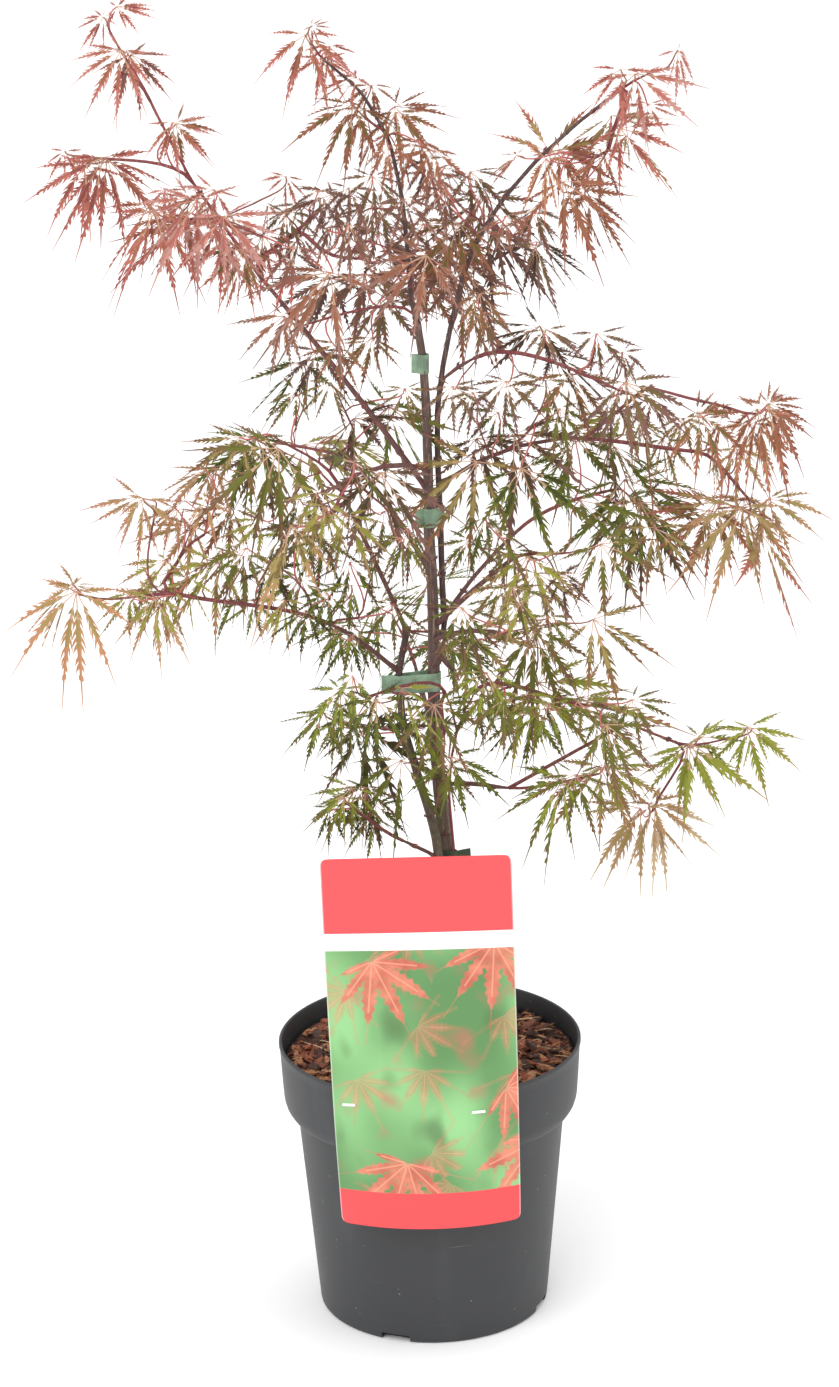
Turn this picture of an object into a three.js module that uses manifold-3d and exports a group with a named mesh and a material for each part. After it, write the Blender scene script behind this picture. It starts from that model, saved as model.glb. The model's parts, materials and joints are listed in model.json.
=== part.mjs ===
// A young japanese maple in a nursery pot, with its picture card hooked over the rim.
// Millimetres, +Z up. The origin is the centre of the pot's flat underside, -Y is the front.
import * as THREE from 'three';
import { mergeVertices } from 'three/addons/utils/BufferGeometryUtils.js';
import Module from 'manifold-3d';

const wasm = await Module();
wasm.setup();

// ---- driving dimensions ----

const GAP = 0.3; // clearance between neighbouring pieces
const CUT_GAP = 0.42; // how far a piece is swelled to cut its neighbour, so faceted faces keep GAP

const pot = {
  rimRadius: 95, // half of the 190 mm nominal size
  height: 178,
  wall: 1.6,
  baseRadius: 72.5,
  baseChamfer: 2.5,
  stepRadius: 84.2, // top of the tapered body, under the collar
  stepHeight: 131,
  collarRadius: 92.6, // bottom of the collar's straight side
  collarHeight: 142.5,
  lipDrop: 3,
  lipProud: 0.5,
  sides: 32,
};
const drain = { count: 4, firstAngle: -110, width: 19, height: 5, depth: 16 };
const soil = { level: 168, crown: 1.5, dip: 2.5, moundShare: 0.72, sideGap: 0.2, rimGap: 1.4 };

const card = {
  width: 114,
  height: 243,
  bottom: 91, // height of its lower edge above the ground
  thickness: 0.8,
  front: 97, // how far its middle hangs in front of the pot's axis
  footRadius: 122, // bend at its lower edge
  easing: 1.5, // power by which the bend eases upwards, to flat at its upper edge
  lean: 1.2, // degrees to the left, about the rim
  swing: -2, // degrees round the pot, to the left
  columns: 9,
  rows: 4,
};
const hook = {
  width: 10,
  thickness: 0.8,
  reachDown: 7,
  rimClearance: 0.1, // beyond GAP, over the rim
  legClearance: 1.2, // beyond GAP, inside the rim
  bite: 0.35, // how far a hook's outer leg runs into the sheet that bears it
  places: [-45, 34],
};

const tie = { height: 12, thickness: 1.1, overlap: 0.3, roundSteps: 4 };

const barkColours = { trunk: '#5b4648', stem: '#46363b', bough: '#6b4a48', shoot: '#a0525a' };

// ---- solids ----

function welded(geometry) {
  geometry.deleteAttribute('normal');
  geometry.deleteAttribute('uv');
  return mergeVertices(geometry, 1e-4);
}

function solidOf(geometry) {
  const whole = welded(geometry);
  return new wasm.Manifold(new wasm.Mesh({
    numProp: 3,
    vertProperties: Float32Array.from(whole.attributes.position.array),
    triVerts: Uint32Array.from(whole.index.array),
  }));
}

function geometryOf(solid) {
  const mesh = solid.getMesh();
  const geometry = new THREE.BufferGeometry();
  geometry.setAttribute('position', new THREE.BufferAttribute(mesh.vertProperties, 3));
  geometry.setIndex(new THREE.BufferAttribute(mesh.triVerts, 1));
  return geometry;
}

function largestBody(solid) {
  const bodies = solid.decompose();
  return bodies.reduce((best, body) => (body.volume() > best.volume() ? body : best));
}

function boxesMeet(a, b) {
  const p = a.boundingBox();
  const q = b.boundingBox();
  return [0, 1, 2].every((i) => p.min[i] < q.max[i] && q.min[i] < p.max[i]);
}

// What is left of a piece once the swelled forms of its neighbours are cut away.
function cutRound(solid, swelledNeighbours) {
  let rest = solid;
  for (const neighbour of swelledNeighbours) {
    if (boxesMeet(rest, neighbour)) rest = rest.subtract(neighbour);
  }
  return largestBody(rest);
}

// ---- limbs ----

// A tapering limb along a curve: a lathed rod of unit length, bent along the curve.
// girth.flare widens the foot, as roots do where they leave a trunk.
function limbGeometry(curve, girth, sides, swell = 0) {
  const steps = Math.max(5, Math.round(curve.getLength() / 34));
  const profile = [new THREE.Vector2(0, 0)];
  for (let i = 0; i <= steps; i += 1) {
    const along = i / steps;
    const taper = girth.foot + (girth.tip - girth.foot) * along ** 0.85;
    const flare = (girth.flare ?? 0) * Math.max(0, 1 - along * (girth.flareSpan ?? 12)) ** 2;
    profile.push(new THREE.Vector2(taper + flare + swell, along));
  }
  profile.push(new THREE.Vector2(0, 1));
  const rod = welded(new THREE.LatheGeometry(profile, sides));
  const position = rod.attributes.position;
  const frames = curve.computeFrenetFrames(steps, false);
  const spot = new THREE.Vector3();
  for (let i = 0; i < position.count; i += 1) {
    const along = position.getY(i);
    const frame = Math.round(along * steps);
    const across = position.getX(i);
    const back = position.getZ(i);
    spot.copy(curve.getPointAt(along))
      .addScaledVector(frames.binormals[frame], across)
      .addScaledVector(frames.normals[frame], back);
    position.setXYZ(i, spot.x, spot.y, spot.z);
  }
  return rod;
}

// Lathed rods can come out inside-out once bent, so the triangles are turned where needed.
function outward(geometry) {
  const solid = solidOf(geometry);
  if (solid.volume() > 0) return solid;
  const index = geometry.index;
  for (let i = 0; i < index.count; i += 3) {
    const second = index.getX(i + 1);
    index.setX(i + 1, index.getX(i + 2));
    index.setX(i + 2, second);
  }
  return solidOf(geometry);
}

function limb(curve, girth, sides) {
  return {
    curve,
    solid: outward(limbGeometry(curve, girth, sides)),
    swelled: outward(limbGeometry(curve, girth, sides, CUT_GAP)),
  };
}

// A stem's centre line from rows of [height, x, y].
function stemCurve(rows) {
  const knots = rows.map(([height, x, y]) => new THREE.Vector3(x, y, height));
  return new THREE.CatmullRomCurve3(knots, false, 'centripetal');
}

function pointAtHeight(curve, height) {
  let low = 0;
  let high = 1;
  for (let i = 0; i < 30; i += 1) {
    const middle = (low + high) / 2;
    if (curve.getPoint(middle).z < height) low = middle;
    else high = middle;
  }
  return curve.getPoint(low);
}

// A bough's centre line: from its fork to its end, its middle lifted by arch and swung by sway.
function boughCurve(start, end, arch, sway) {
  const run = new THREE.Vector3().subVectors(end, start);
  const side = new THREE.Vector3(-run.y, run.x, 0).normalize();
  const handle = (share, lift) => start.clone().addScaledVector(run, share)
    .addScaledVector(side, sway).add(new THREE.Vector3(0, 0, lift));
  return new THREE.CubicBezierCurve3(start, handle(0.3, arch * 1.33), handle(0.7, arch * 1.33), end);
}

// ---- the stems ----

// Heights run up from the soil; each row is [height, x, y].
const ground = soil.level + soil.crown + GAP;
const stems = {
  trunk: {
    rows: [[ground, 9, 0], [235, 10, 1], [299, 12, 1], [354, 8, 1], [403, 6, 2], [453, 7, 2],
      [509, 5, 1], [556, 5, 0], [603, 4, 0], [645, -1, 0]],
    girth: { foot: 5.8, tip: 2.3, flare: 3.8, flareSpan: 11 },
    sides: 10,
    colour: barkColours.trunk,
  },
  left_stem: {
    rows: [[252, 11, -4], [276, 10, -7.5], [299, 8, -8.5], [326, 4, -8], [349, -3, -7], [366, -8, -5],
      [385, -13, -4], [407, -16, -3], [428, -14, -3], [452, -8, -3]],
    girth: { foot: 3.5, tip: 2.0 },
    sides: 7,
    colour: barkColours.stem,
  },
  right_stem: {
    rows: [[436, 14, 6], [470, 12.5, 6], [509, 12, 5.5], [556, 11, 5], [596, 11, 5], [621, 19, 5],
      [669, 28, 7], [713, 56, 8], [742, 84, 7], [770, 118, 4], [777, 128, 2]],
    girth: { foot: 2.3, tip: 1.0 },
    sides: 8,
    colour: barkColours.stem,
  },
  leader_top: {
    rows: [[646, -3, 0], [668, -4, 0], [693, -6, 0], [729, -10, 0], [760, -20, -3], [782, -36, -7],
      [797, -54, -10]],
    girth: { foot: 1.7, tip: 0.8 },
    sides: 7,
    colour: barkColours.bough,
  },
};

// ---- the masses of foliage ----

// Each mass is placed by its heading round the trunk (0 right, 90 back, 180 left, -90 front), its
// reach from the trunk and its height. length runs outwards, width across, and droop is how far
// its edge hangs below its middle. tilt lowers its outer end, in degrees.
const tint = {
  coral: '#c05a50',
  rust: '#9a5540',
  plum: '#6f4842',
  olive: '#6e6238',
  green: '#66803a',
  gold: '#b98f4c',
};
const masses = [
  { name: 'mass_top_left', tint: tint.coral, heading: -174, reach: 172, height: 805,
    length: 54, width: 50, depth: 44, droop: 14, tilt: 8 },
  { name: 'mass_left_tip', tint: tint.coral, heading: -169, reach: 178, height: 729,
    length: 76, width: 64, depth: 34, droop: 16, tilt: -10 },
  { name: 'mass_upper_left', tint: tint.coral, heading: -168, reach: 124, height: 702,
    length: 116, width: 104, depth: 42, droop: 24, tilt: -4 },
  { name: 'mass_leader_tip', tint: tint.coral, heading: -171, reach: 60, height: 801,
    length: 44, width: 48, depth: 26, droop: 16, tilt: 0 },
  { name: 'mass_crown_top', tint: tint.rust, heading: 170, reach: 22, height: 752,
    length: 112, width: 108, depth: 36, droop: 16, tilt: 0 },
  { name: 'mass_upper_middle', tint: tint.plum, heading: -152, reach: 52, height: 686,
    length: 124, width: 110, depth: 46, droop: 26, tilt: 6 },
  { name: 'mass_right_top_tip', tint: tint.coral, heading: 0, reach: 139, height: 773,
    length: 70, width: 66, depth: 26, droop: 18, tilt: -8 },
  { name: 'mass_right_top', tint: tint.rust, heading: 6, reach: 97, height: 728,
    length: 102, width: 94, depth: 48, droop: 24, tilt: -14 },
  { name: 'mass_upper_right', tint: tint.plum, heading: 36, reach: 56, height: 676,
    length: 100, width: 104, depth: 46, droop: 24, tilt: 0 },
  { name: 'mass_middle_high', tint: tint.plum, heading: 180, reach: 44, height: 636,
    length: 118, width: 100, depth: 44, droop: 24, tilt: 6 },
  { name: 'mass_arch_right', tint: tint.plum, heading: -14, reach: 84, height: 618,
    length: 114, width: 104, depth: 40, droop: 22, tilt: 6 },
  { name: 'mass_arch_right_tip', tint: tint.rust, heading: -9, reach: 206, height: 584,
    length: 88, width: 84, depth: 26, droop: 20, tilt: 4 },
  { name: 'mass_centre_right', tint: tint.olive, heading: -8, reach: 50, height: 548,
    length: 88, width: 90, depth: 44, droop: 22, tilt: 4 },
  { name: 'mass_right_middle', tint: tint.olive, heading: 9, reach: 140, height: 548,
    length: 112, width: 104, depth: 38, droop: 20, tilt: 6 },
  { name: 'mass_right_long', tint: tint.olive, heading: -31, reach: 90, height: 521,
    length: 104, width: 98, depth: 42, droop: 24, tilt: 8 },
  { name: 'mass_right_long_tip', tint: tint.rust, heading: 3, reach: 188, height: 510,
    length: 84, width: 84, depth: 32, droop: 26, tilt: 14 },
  { name: 'mass_lower_right', tint: tint.green, heading: -23, reach: 74, height: 419,
    length: 122, width: 96, depth: 42, droop: 22, tilt: 10 },
  { name: 'mass_lower_right_tip', tint: tint.green, heading: -6, reach: 176, height: 366,
    length: 78, width: 60, depth: 24, droop: 18, tilt: 10 },
  { name: 'mass_low_right', tint: tint.green, heading: -34, reach: 92, height: 347,
    length: 78, width: 68, depth: 30, droop: 16, tilt: 12 },
  { name: 'mass_low_right_tip', tint: tint.gold, heading: -13, reach: 134, height: 324,
    length: 84, width: 66, depth: 28, droop: 20, tilt: 4 },
  { name: 'mass_left_middle', tint: tint.olive, heading: 178, reach: 70, height: 572,
    length: 128, width: 112, depth: 50, droop: 22, tilt: 12 },
  { name: 'mass_left_middle_tip', tint: tint.rust, heading: 173, reach: 153, height: 526,
    length: 112, width: 86, depth: 32, droop: 18, tilt: 10 },
  { name: 'mass_left_low', tint: tint.green, heading: -165, reach: 104, height: 479,
    length: 160, width: 102, depth: 42, droop: 22, tilt: 5 },
  { name: 'mass_left_low_tip', tint: tint.gold, heading: -174, reach: 216, height: 466,
    length: 102, width: 72, depth: 30, droop: 20, tilt: 8 },
  { name: 'mass_lower_left', tint: tint.green, heading: -154, reach: 44, height: 384,
    length: 96, width: 90, depth: 44, droop: 20, tilt: 10 },
  { name: 'mass_foot_left', tint: tint.green, heading: -149, reach: 60, height: 322,
    length: 68, width: 62, depth: 32, droop: 24, tilt: 14 },
  { name: 'mass_front_left', tint: tint.olive, heading: -118, reach: 138, height: 560,
    length: 112, width: 104, depth: 36, droop: 22, tilt: 10 },
  { name: 'mass_front_right', tint: tint.olive, heading: -62, reach: 134, height: 470,
    length: 104, width: 104, depth: 36, droop: 22, tilt: 10 },
  { name: 'mass_back_upper', tint: tint.plum, heading: 96, reach: 116, height: 640,
    length: 126, width: 130, depth: 46, droop: 24, tilt: 8 },
  { name: 'mass_back_left', tint: tint.olive, heading: 121, reach: 148, height: 545,
    length: 126, width: 128, depth: 42, droop: 24, tilt: 8 },
  { name: 'mass_back_right', tint: tint.olive, heading: 52, reach: 156, height: 500,
    length: 126, width: 128, depth: 42, droop: 24, tilt: 8 },
  { name: 'mass_back_low', tint: tint.green, heading: 100, reach: 118, height: 415,
    length: 112, width: 118, depth: 40, droop: 22, tilt: 10 },
];
const crownAxis = { x: 5, y: 0 };
const underside = 1.7; // leaves hang, so a mass is this much deeper below its middle than above
const padSides = 12;
const padRings = 5;

function massCentre(mass) {
  const angle = THREE.MathUtils.degToRad(mass.heading);
  return new THREE.Vector3(
    crownAxis.x + mass.reach * Math.cos(angle),
    crownAxis.y + mass.reach * Math.sin(angle),
    mass.height,
  );
}

// An uneven, drooping pad: a ball whose edge swells and shrinks in lobes and hangs below its middle.
function massGeometry(mass, order, swell = 0) {
  const ball = new THREE.SphereGeometry(1, padSides, padRings);
  ball.rotateX(Math.PI / 2);
  const whole = welded(ball);
  const position = whole.attributes.position;
  for (let i = 0; i < position.count; i += 1) {
    const x = position.getX(i);
    const y = position.getY(i);
    const around = Math.atan2(y, x);
    const lobes = 1 + 0.07 * Math.sin(3 * around + order) + 0.05 * Math.sin(5 * around + 2.3 * order);
    const spread = Math.min(1, x * x + y * y);
    const lumps = 0.12 * Math.sin(2 * around + 1.7 * order) * spread;
    const height = position.getZ(i) * (position.getZ(i) < 0 ? underside : 1);
    position.setXYZ(
      i,
      x * lobes * (mass.length / 2 + swell),
      y * lobes * (mass.width / 2 + swell),
      (height + lumps) * (mass.depth / 2 + swell) - mass.droop * (spread - 0.4),
    );
  }
  whole.rotateY(THREE.MathUtils.degToRad(mass.tilt));
  whole.rotateZ(THREE.MathUtils.degToRad(mass.heading));
  const centre = massCentre(mass);
  whole.translate(centre.x, centre.y, centre.z);
  return whole;
}

// ---- the boughs ----

// Each bough leaves a stem at a height and ends where it enters its mass.
const boughs = [
  { name: 'bough_upper_left', from: 'trunk', height: 533, to: 'mass_upper_left',
    arch: 4, sway: 0, foot: 2.0, tip: 1.1 },
  { name: 'bough_arch_right', from: 'right_stem', height: 598, to: 'mass_arch_right',
    arch: 12, sway: 0, foot: 1.4, tip: 1.0 },
  { name: 'bough_right_middle', from: 'right_stem', height: 535, to: 'mass_right_middle',
    arch: 18, sway: 0, foot: 1.5, tip: 0.9 },
  { name: 'bough_right_long', from: 'trunk', height: 446, to: 'mass_right_long',
    arch: 4, sway: -3, foot: 2.0, tip: 1.2 },
  { name: 'bough_lower_right', from: 'trunk', height: 432, to: 'mass_lower_right',
    arch: -16, sway: 0, foot: 2.0, tip: 1.2 },
  { name: 'bough_low_right', from: 'trunk', height: 345, to: 'mass_low_right',
    arch: 6, sway: 0, foot: 1.7, tip: 1.0 },
  { name: 'bough_left_middle', from: 'left_stem', height: 446, to: 'mass_left_middle',
    arch: 0, sway: -4, foot: 1.6, tip: 1.1 },
  { name: 'bough_left_low', from: 'left_stem', height: 420, to: 'mass_left_low',
    arch: 6, sway: 0, foot: 1.7, tip: 1.2 },
  { name: 'bough_foot_left', from: 'left_stem', height: 300, to: 'mass_foot_left',
    arch: 6, sway: 0, foot: 1.4, tip: 1.0 },
  { name: 'bough_front_left', from: 'trunk', height: 546, to: 'mass_front_left',
    arch: 10, sway: 0, foot: 1.8, tip: 1.1 },
  { name: 'bough_front_right', from: 'trunk', height: 438, to: 'mass_front_right',
    arch: 8, sway: 0, foot: 1.8, tip: 1.1 },
  { name: 'bough_back_upper', from: 'trunk', height: 596, to: 'mass_back_upper',
    arch: 12, sway: 0, foot: 1.7, tip: 1.1 },
  { name: 'bough_back_left', from: 'trunk', height: 480, to: 'mass_back_left',
    arch: 12, sway: 0, foot: 1.9, tip: 1.1 },
  { name: 'bough_back_right', from: 'right_stem', height: 452, to: 'mass_back_right',
    arch: 10, sway: 0, foot: 1.5, tip: 1.0 },
  { name: 'bough_back_low', from: 'trunk', height: 366, to: 'mass_back_low',
    arch: 10, sway: 0, foot: 1.8, tip: 1.1 },
];
const shoots = [
  { name: 'shoot_top_left', from: 'mass_upper_left', to: 'mass_top_left',
    arch: 2, sway: 8, foot: 1.0, tip: 0.8 },
  { name: 'shoot_arch_right', from: 'mass_arch_right', to: 'mass_arch_right_tip',
    arch: -4, sway: 0, foot: 1.1, tip: 0.9 },
  { name: 'shoot_lower_right', from: 'mass_lower_right', to: 'mass_lower_right_tip',
    arch: -3, sway: 0, foot: 1.1, tip: 0.9 },
];

// ---- the pot ----

// The collar turns under to the tapered body on a quarter round.
function potWallProfile(inset) {
  const turn = [];
  const steps = 3;
  for (let i = 0; i <= steps; i += 1) {
    const angle = (Math.PI / 2) * (i / steps);
    turn.push(new THREE.Vector2(
      pot.stepRadius + (pot.collarRadius - pot.stepRadius) * Math.sin(angle) - inset,
      pot.stepHeight + (pot.collarHeight - pot.stepHeight) * (1 - Math.cos(angle)) + inset * Math.cos(angle),
    ));
  }
  return turn;
}

function potGeometry() {
  const lipBottom = pot.height - pot.lipDrop;
  const outside = [
    new THREE.Vector2(0, 0),
    new THREE.Vector2(pot.baseRadius - pot.baseChamfer, 0),
    new THREE.Vector2(pot.baseRadius, pot.baseChamfer),
    ...potWallProfile(0),
    new THREE.Vector2(pot.rimRadius - pot.lipProud, lipBottom),
    new THREE.Vector2(pot.rimRadius, lipBottom + pot.lipProud),
    new THREE.Vector2(pot.rimRadius, pot.height - pot.lipProud),
    new THREE.Vector2(pot.rimRadius - pot.lipProud, pot.height),
  ];
  const inside = [
    new THREE.Vector2(pot.rimRadius - pot.wall - pot.lipProud, pot.height),
    ...potWallProfile(pot.wall).reverse(),
    new THREE.Vector2(pot.baseRadius - pot.wall, pot.baseChamfer + pot.wall),
    new THREE.Vector2(pot.baseRadius - pot.baseChamfer - pot.wall, pot.wall),
    new THREE.Vector2(0, pot.wall),
  ];
  return standing(new THREE.LatheGeometry([...outside, ...inside], pot.sides));
}

// A lathe turns about Y, so its shapes are stood up along Z.
function standing(geometry) {
  geometry.rotateX(Math.PI / 2);
  return geometry;
}

function drainCutter(order) {
  const block = new THREE.BoxGeometry(drain.depth, drain.width, 2 * drain.height);
  block.translate(pot.baseRadius, 0, 0);
  block.rotateZ(THREE.MathUtils.degToRad(drain.firstAngle + (360 / drain.count) * order));
  return solidOf(block);
}

function potSolid() {
  let body = outward(welded(potGeometry()));
  for (let order = 0; order < drain.count; order += 1) body = body.subtract(drainCutter(order));
  return body;
}

function soilGeometry() {
  const clear = pot.wall + GAP + soil.sideGap;
  const lift = pot.wall + GAP;
  const rimInset = pot.rimRadius - pot.wall - GAP - soil.rimGap;
  const profile = [
    new THREE.Vector2(0, lift),
    new THREE.Vector2(pot.baseRadius - pot.baseChamfer - clear, lift),
    new THREE.Vector2(pot.baseRadius - clear, pot.baseChamfer + lift),
    ...potWallProfile(clear),
    new THREE.Vector2(rimInset, soil.level - soil.dip),
    new THREE.Vector2(rimInset * soil.moundShare, soil.level + soil.crown),
    new THREE.Vector2(0, soil.level + soil.crown),
  ];
  return standing(new THREE.LatheGeometry(profile, pot.sides));
}

// ---- the picture card ----

// The radius of the card's bend at a share of its height.
function bendAt(up) {
  const flattest = 1e5;
  return Math.min(flattest, card.footRadius / Math.max(1 - up, 1e-9) ** card.easing);
}

// A flat sheet bent towards the pot, less and less towards its head, with two hooks at its back
// that pass over the rim.
function bendCard(geometry) {
  const position = geometry.attributes.position;
  for (let i = 0; i < position.count; i += 1) {
    const across = position.getX(i);
    const bend = bendAt(position.getZ(i) / card.height);
    const radius = bend + position.getY(i);
    position.setX(i, radius * Math.sin(across / bend));
    position.setY(i, bend - card.front - radius * Math.cos(across / bend));
  }
  return geometry;
}

function cardSheet() {
  const sheet = new THREE.BoxGeometry(
    card.width, card.thickness, card.height, card.columns, 1, card.rows,
  );
  sheet.translate(0, -card.thickness / 2, card.height / 2);
  const bent = bendCard(welded(sheet));
  bent.translate(0, 0, card.bottom - pot.height);
  bent.rotateY(THREE.MathUtils.degToRad(-card.lean));
  bent.translate(0, 0, pot.height);
  return outward(bent);
}

// A hook stands square to the card at a place across it. Its outline is drawn as (distance in front
// of the pot's axis, height), as if it were at the card's middle, and it is then swung to its place
// about the centre of the card's bend.
function cardHook(place) {
  const bend = bendAt((pot.height - card.bottom) / card.height);
  const centre = bend - card.front;
  const turn = place / bend;
  const aside = Math.abs(centre * Math.sin(turn)) + hook.width / 2;
  const inner = pot.rimRadius - pot.wall - pot.lipProud;
  const wall = Math.sqrt(inner ** 2 - aside ** 2) - centre * (1 - Math.cos(turn));
  const legInside = wall - GAP - hook.legClearance;
  const back = card.front - card.thickness;
  const outer = back + hook.bite;
  const outside = back - hook.thickness;
  const under = pot.height + GAP + hook.rimClearance;
  const outline = new THREE.Shape([
    new THREE.Vector2(outer, under - hook.reachDown),
    new THREE.Vector2(outer, under + hook.thickness),
    new THREE.Vector2(legInside - hook.thickness, under + hook.thickness),
    new THREE.Vector2(legInside - hook.thickness, under - hook.reachDown),
    new THREE.Vector2(legInside, under - hook.reachDown),
    new THREE.Vector2(legInside, under),
    new THREE.Vector2(outside, under),
    new THREE.Vector2(outside, under - hook.reachDown),
  ]);
  const strip = new THREE.ExtrudeGeometry(outline, { depth: hook.width, bevelEnabled: false });
  strip.translate(0, 0, -hook.width / 2);
  strip.rotateX(Math.PI / 2);
  strip.rotateZ(-Math.PI / 2);
  strip.translate(0, -centre, 0);
  strip.rotateZ(turn);
  strip.translate(0, centre, 0);
  return outward(welded(strip));
}

function cardSolid() {
  const whole = hook.places.reduce((sheet, place) => sheet.add(cardHook(place)), cardSheet());
  return whole.rotate([0, 0, card.swing]);
}

// ---- the ties ----

// A flat band round one or two stems. It bites into them a little and is then cut clear of them.
function tieSolid(middle, curves, girths, swell = 0) {
  const spots = curves.map((curve) => pointAtHeight(curve, middle));
  const first = spots[0];
  const last = spots[spots.length - 1];
  const turn = Math.atan2(last.y - first.y, last.x - first.x);
  const length = first.distanceTo(last);
  const loop = (offset) => {
    const path = new THREE.Path();
    path.absarc(0, 0, girths[0] + offset, Math.PI / 2, 1.5 * Math.PI, false);
    path.absarc(length, 0, girths[girths.length - 1] + offset, -Math.PI / 2, Math.PI / 2, false);
    return path.getPoints(tie.roundSteps);
  };
  const band = new THREE.Shape(loop(tie.thickness + swell));
  band.holes.push(new THREE.Path(loop(-tie.overlap - swell)));
  const depth = tie.height + 2 * swell;
  const ring = new THREE.ExtrudeGeometry(band, { depth, bevelEnabled: false });
  ring.rotateZ(turn);
  ring.translate(first.x, first.y, middle - depth / 2);
  return outward(welded(ring));
}

const ties = [
  // girths are the stems' radii where the band crosses them
  { name: 'tie_low', height: 412, stems: ['left_stem', 'trunk'], girths: [3.5, 5.4] },
  { name: 'tie_middle', height: 516, stems: ['trunk', 'right_stem'], girths: [4.4, 2.9] },
  { name: 'tie_high', height: 611, stems: ['trunk'], girths: [4.0] },
];

// ---- assembly ----

const plant = new THREE.Group();

function addPiece(name, solid, colour, roughness = 0.85) {
  const material = new THREE.MeshStandardMaterial({ color: colour, roughness, metalness: 0 });
  const mesh = new THREE.Mesh(geometryOf(solid), material);
  mesh.name = name;
  plant.add(mesh);
}

const woody = {};
for (const [name, stem] of Object.entries(stems)) {
  const piece = limb(stemCurve(stem.rows), stem.girth, stem.sides);
  piece.solid = cutRound(piece.solid, Object.values(woody).map((other) => other.swelled));
  woody[name] = piece;
}
const stemSwells = Object.values(woody).map((piece) => piece.swelled);

const formOf = {};
masses.forEach((mass, order) => {
  formOf[mass.name] = {
    centre: massCentre(mass),
    solid: outward(massGeometry(mass, order)),
    swelled: outward(massGeometry(mass, order, CUT_GAP)),
  };
});

const boughPieces = [];
for (const bough of [...boughs, ...shoots]) {
  const start = bough.from in woody
    ? pointAtHeight(woody[bough.from].curve, bough.height)
    : formOf[bough.from].centre;
  const curve = boughCurve(start, formOf[bough.to].centre, bough.arch, bough.sway);
  const piece = limb(curve, bough, 6);
  const ends = [bough.from, bough.to].filter((end) => end in formOf).map((end) => formOf[end].swelled);
  const others = boughPieces.map((other) => other.swelled);
  piece.solid = cutRound(piece.solid, [...stemSwells, ...ends, ...others]);
  boughPieces.push({ ...piece, name: bough.name, ends: [bough.from, bough.to] });
}

const tieSwells = [];
for (const band of ties) {
  const curves = band.stems.map((name) => woody[name].curve);
  const solid = cutRound(tieSolid(band.height, curves, band.girths), stemSwells);
  addPiece(band.name, solid, '#7fa08c', 0.6);
  tieSwells.push(tieSolid(band.height, curves, band.girths, CUT_GAP));
}

const finished = [];
for (const mass of masses) {
  const crossing = boughPieces.filter((piece) => !piece.ends.includes(mass.name));
  const neighbours = [...stemSwells, ...tieSwells, ...crossing.map((piece) => piece.swelled), ...finished];
  addPiece(mass.name, cutRound(formOf[mass.name].solid, neighbours), mass.tint);
  finished.push(formOf[mass.name].swelled);
}

for (const [name, stem] of Object.entries(stems)) addPiece(name, woody[name].solid, stem.colour);
for (const piece of boughPieces) {
  const colour = piece.name.startsWith('shoot') ? barkColours.shoot : barkColours.bough;
  addPiece(piece.name, piece.solid, colour);
}
addPiece('pot', potSolid(), '#46484b', 0.5);
addPiece('soil', outward(welded(soilGeometry())), '#5a3322', 0.95);
addPiece('picture_card', cardSolid(), '#7fbf74', 0.35);

export default plant;
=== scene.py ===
"""A young japanese maple in a nursery pot: bark, twigs, cut leaves, mulch, ties and a picture card."""
import json
import math

import bpy
import numpy as np
from mathutils import Matrix, Vector
from mathutils.bvhtree import BVHTree


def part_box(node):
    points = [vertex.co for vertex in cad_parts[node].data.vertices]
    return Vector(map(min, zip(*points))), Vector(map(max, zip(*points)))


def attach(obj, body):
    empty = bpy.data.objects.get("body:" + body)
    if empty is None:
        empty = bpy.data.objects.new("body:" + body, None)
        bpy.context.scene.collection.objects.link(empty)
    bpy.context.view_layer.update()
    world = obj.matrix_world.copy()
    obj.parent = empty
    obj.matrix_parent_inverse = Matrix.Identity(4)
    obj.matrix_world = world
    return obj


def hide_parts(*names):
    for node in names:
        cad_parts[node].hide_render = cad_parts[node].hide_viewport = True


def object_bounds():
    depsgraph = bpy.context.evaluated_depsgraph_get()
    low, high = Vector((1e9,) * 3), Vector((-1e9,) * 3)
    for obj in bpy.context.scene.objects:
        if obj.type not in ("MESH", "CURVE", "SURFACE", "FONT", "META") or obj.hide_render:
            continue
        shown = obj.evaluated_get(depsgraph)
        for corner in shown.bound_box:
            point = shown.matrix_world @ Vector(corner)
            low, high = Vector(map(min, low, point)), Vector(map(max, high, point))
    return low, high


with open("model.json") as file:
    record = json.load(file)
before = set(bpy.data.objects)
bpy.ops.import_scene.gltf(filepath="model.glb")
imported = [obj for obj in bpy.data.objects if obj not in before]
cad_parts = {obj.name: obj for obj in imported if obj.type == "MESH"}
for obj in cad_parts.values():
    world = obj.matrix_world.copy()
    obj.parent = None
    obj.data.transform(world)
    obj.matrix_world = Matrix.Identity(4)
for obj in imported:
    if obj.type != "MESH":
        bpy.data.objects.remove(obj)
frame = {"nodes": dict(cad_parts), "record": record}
cad_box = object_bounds()
MM = 0.001
DOWN = np.array([0.0, 0.0, -1.0])
LEVEL = (1, 1, 0)  # keeps the level part of a direction
SEEDS = {"leaf_places": 5, "leaf_shapes": 11, "buds": 17, "compost": 23, "mulch": 41}


# ---- camera, light and floor ----

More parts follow.
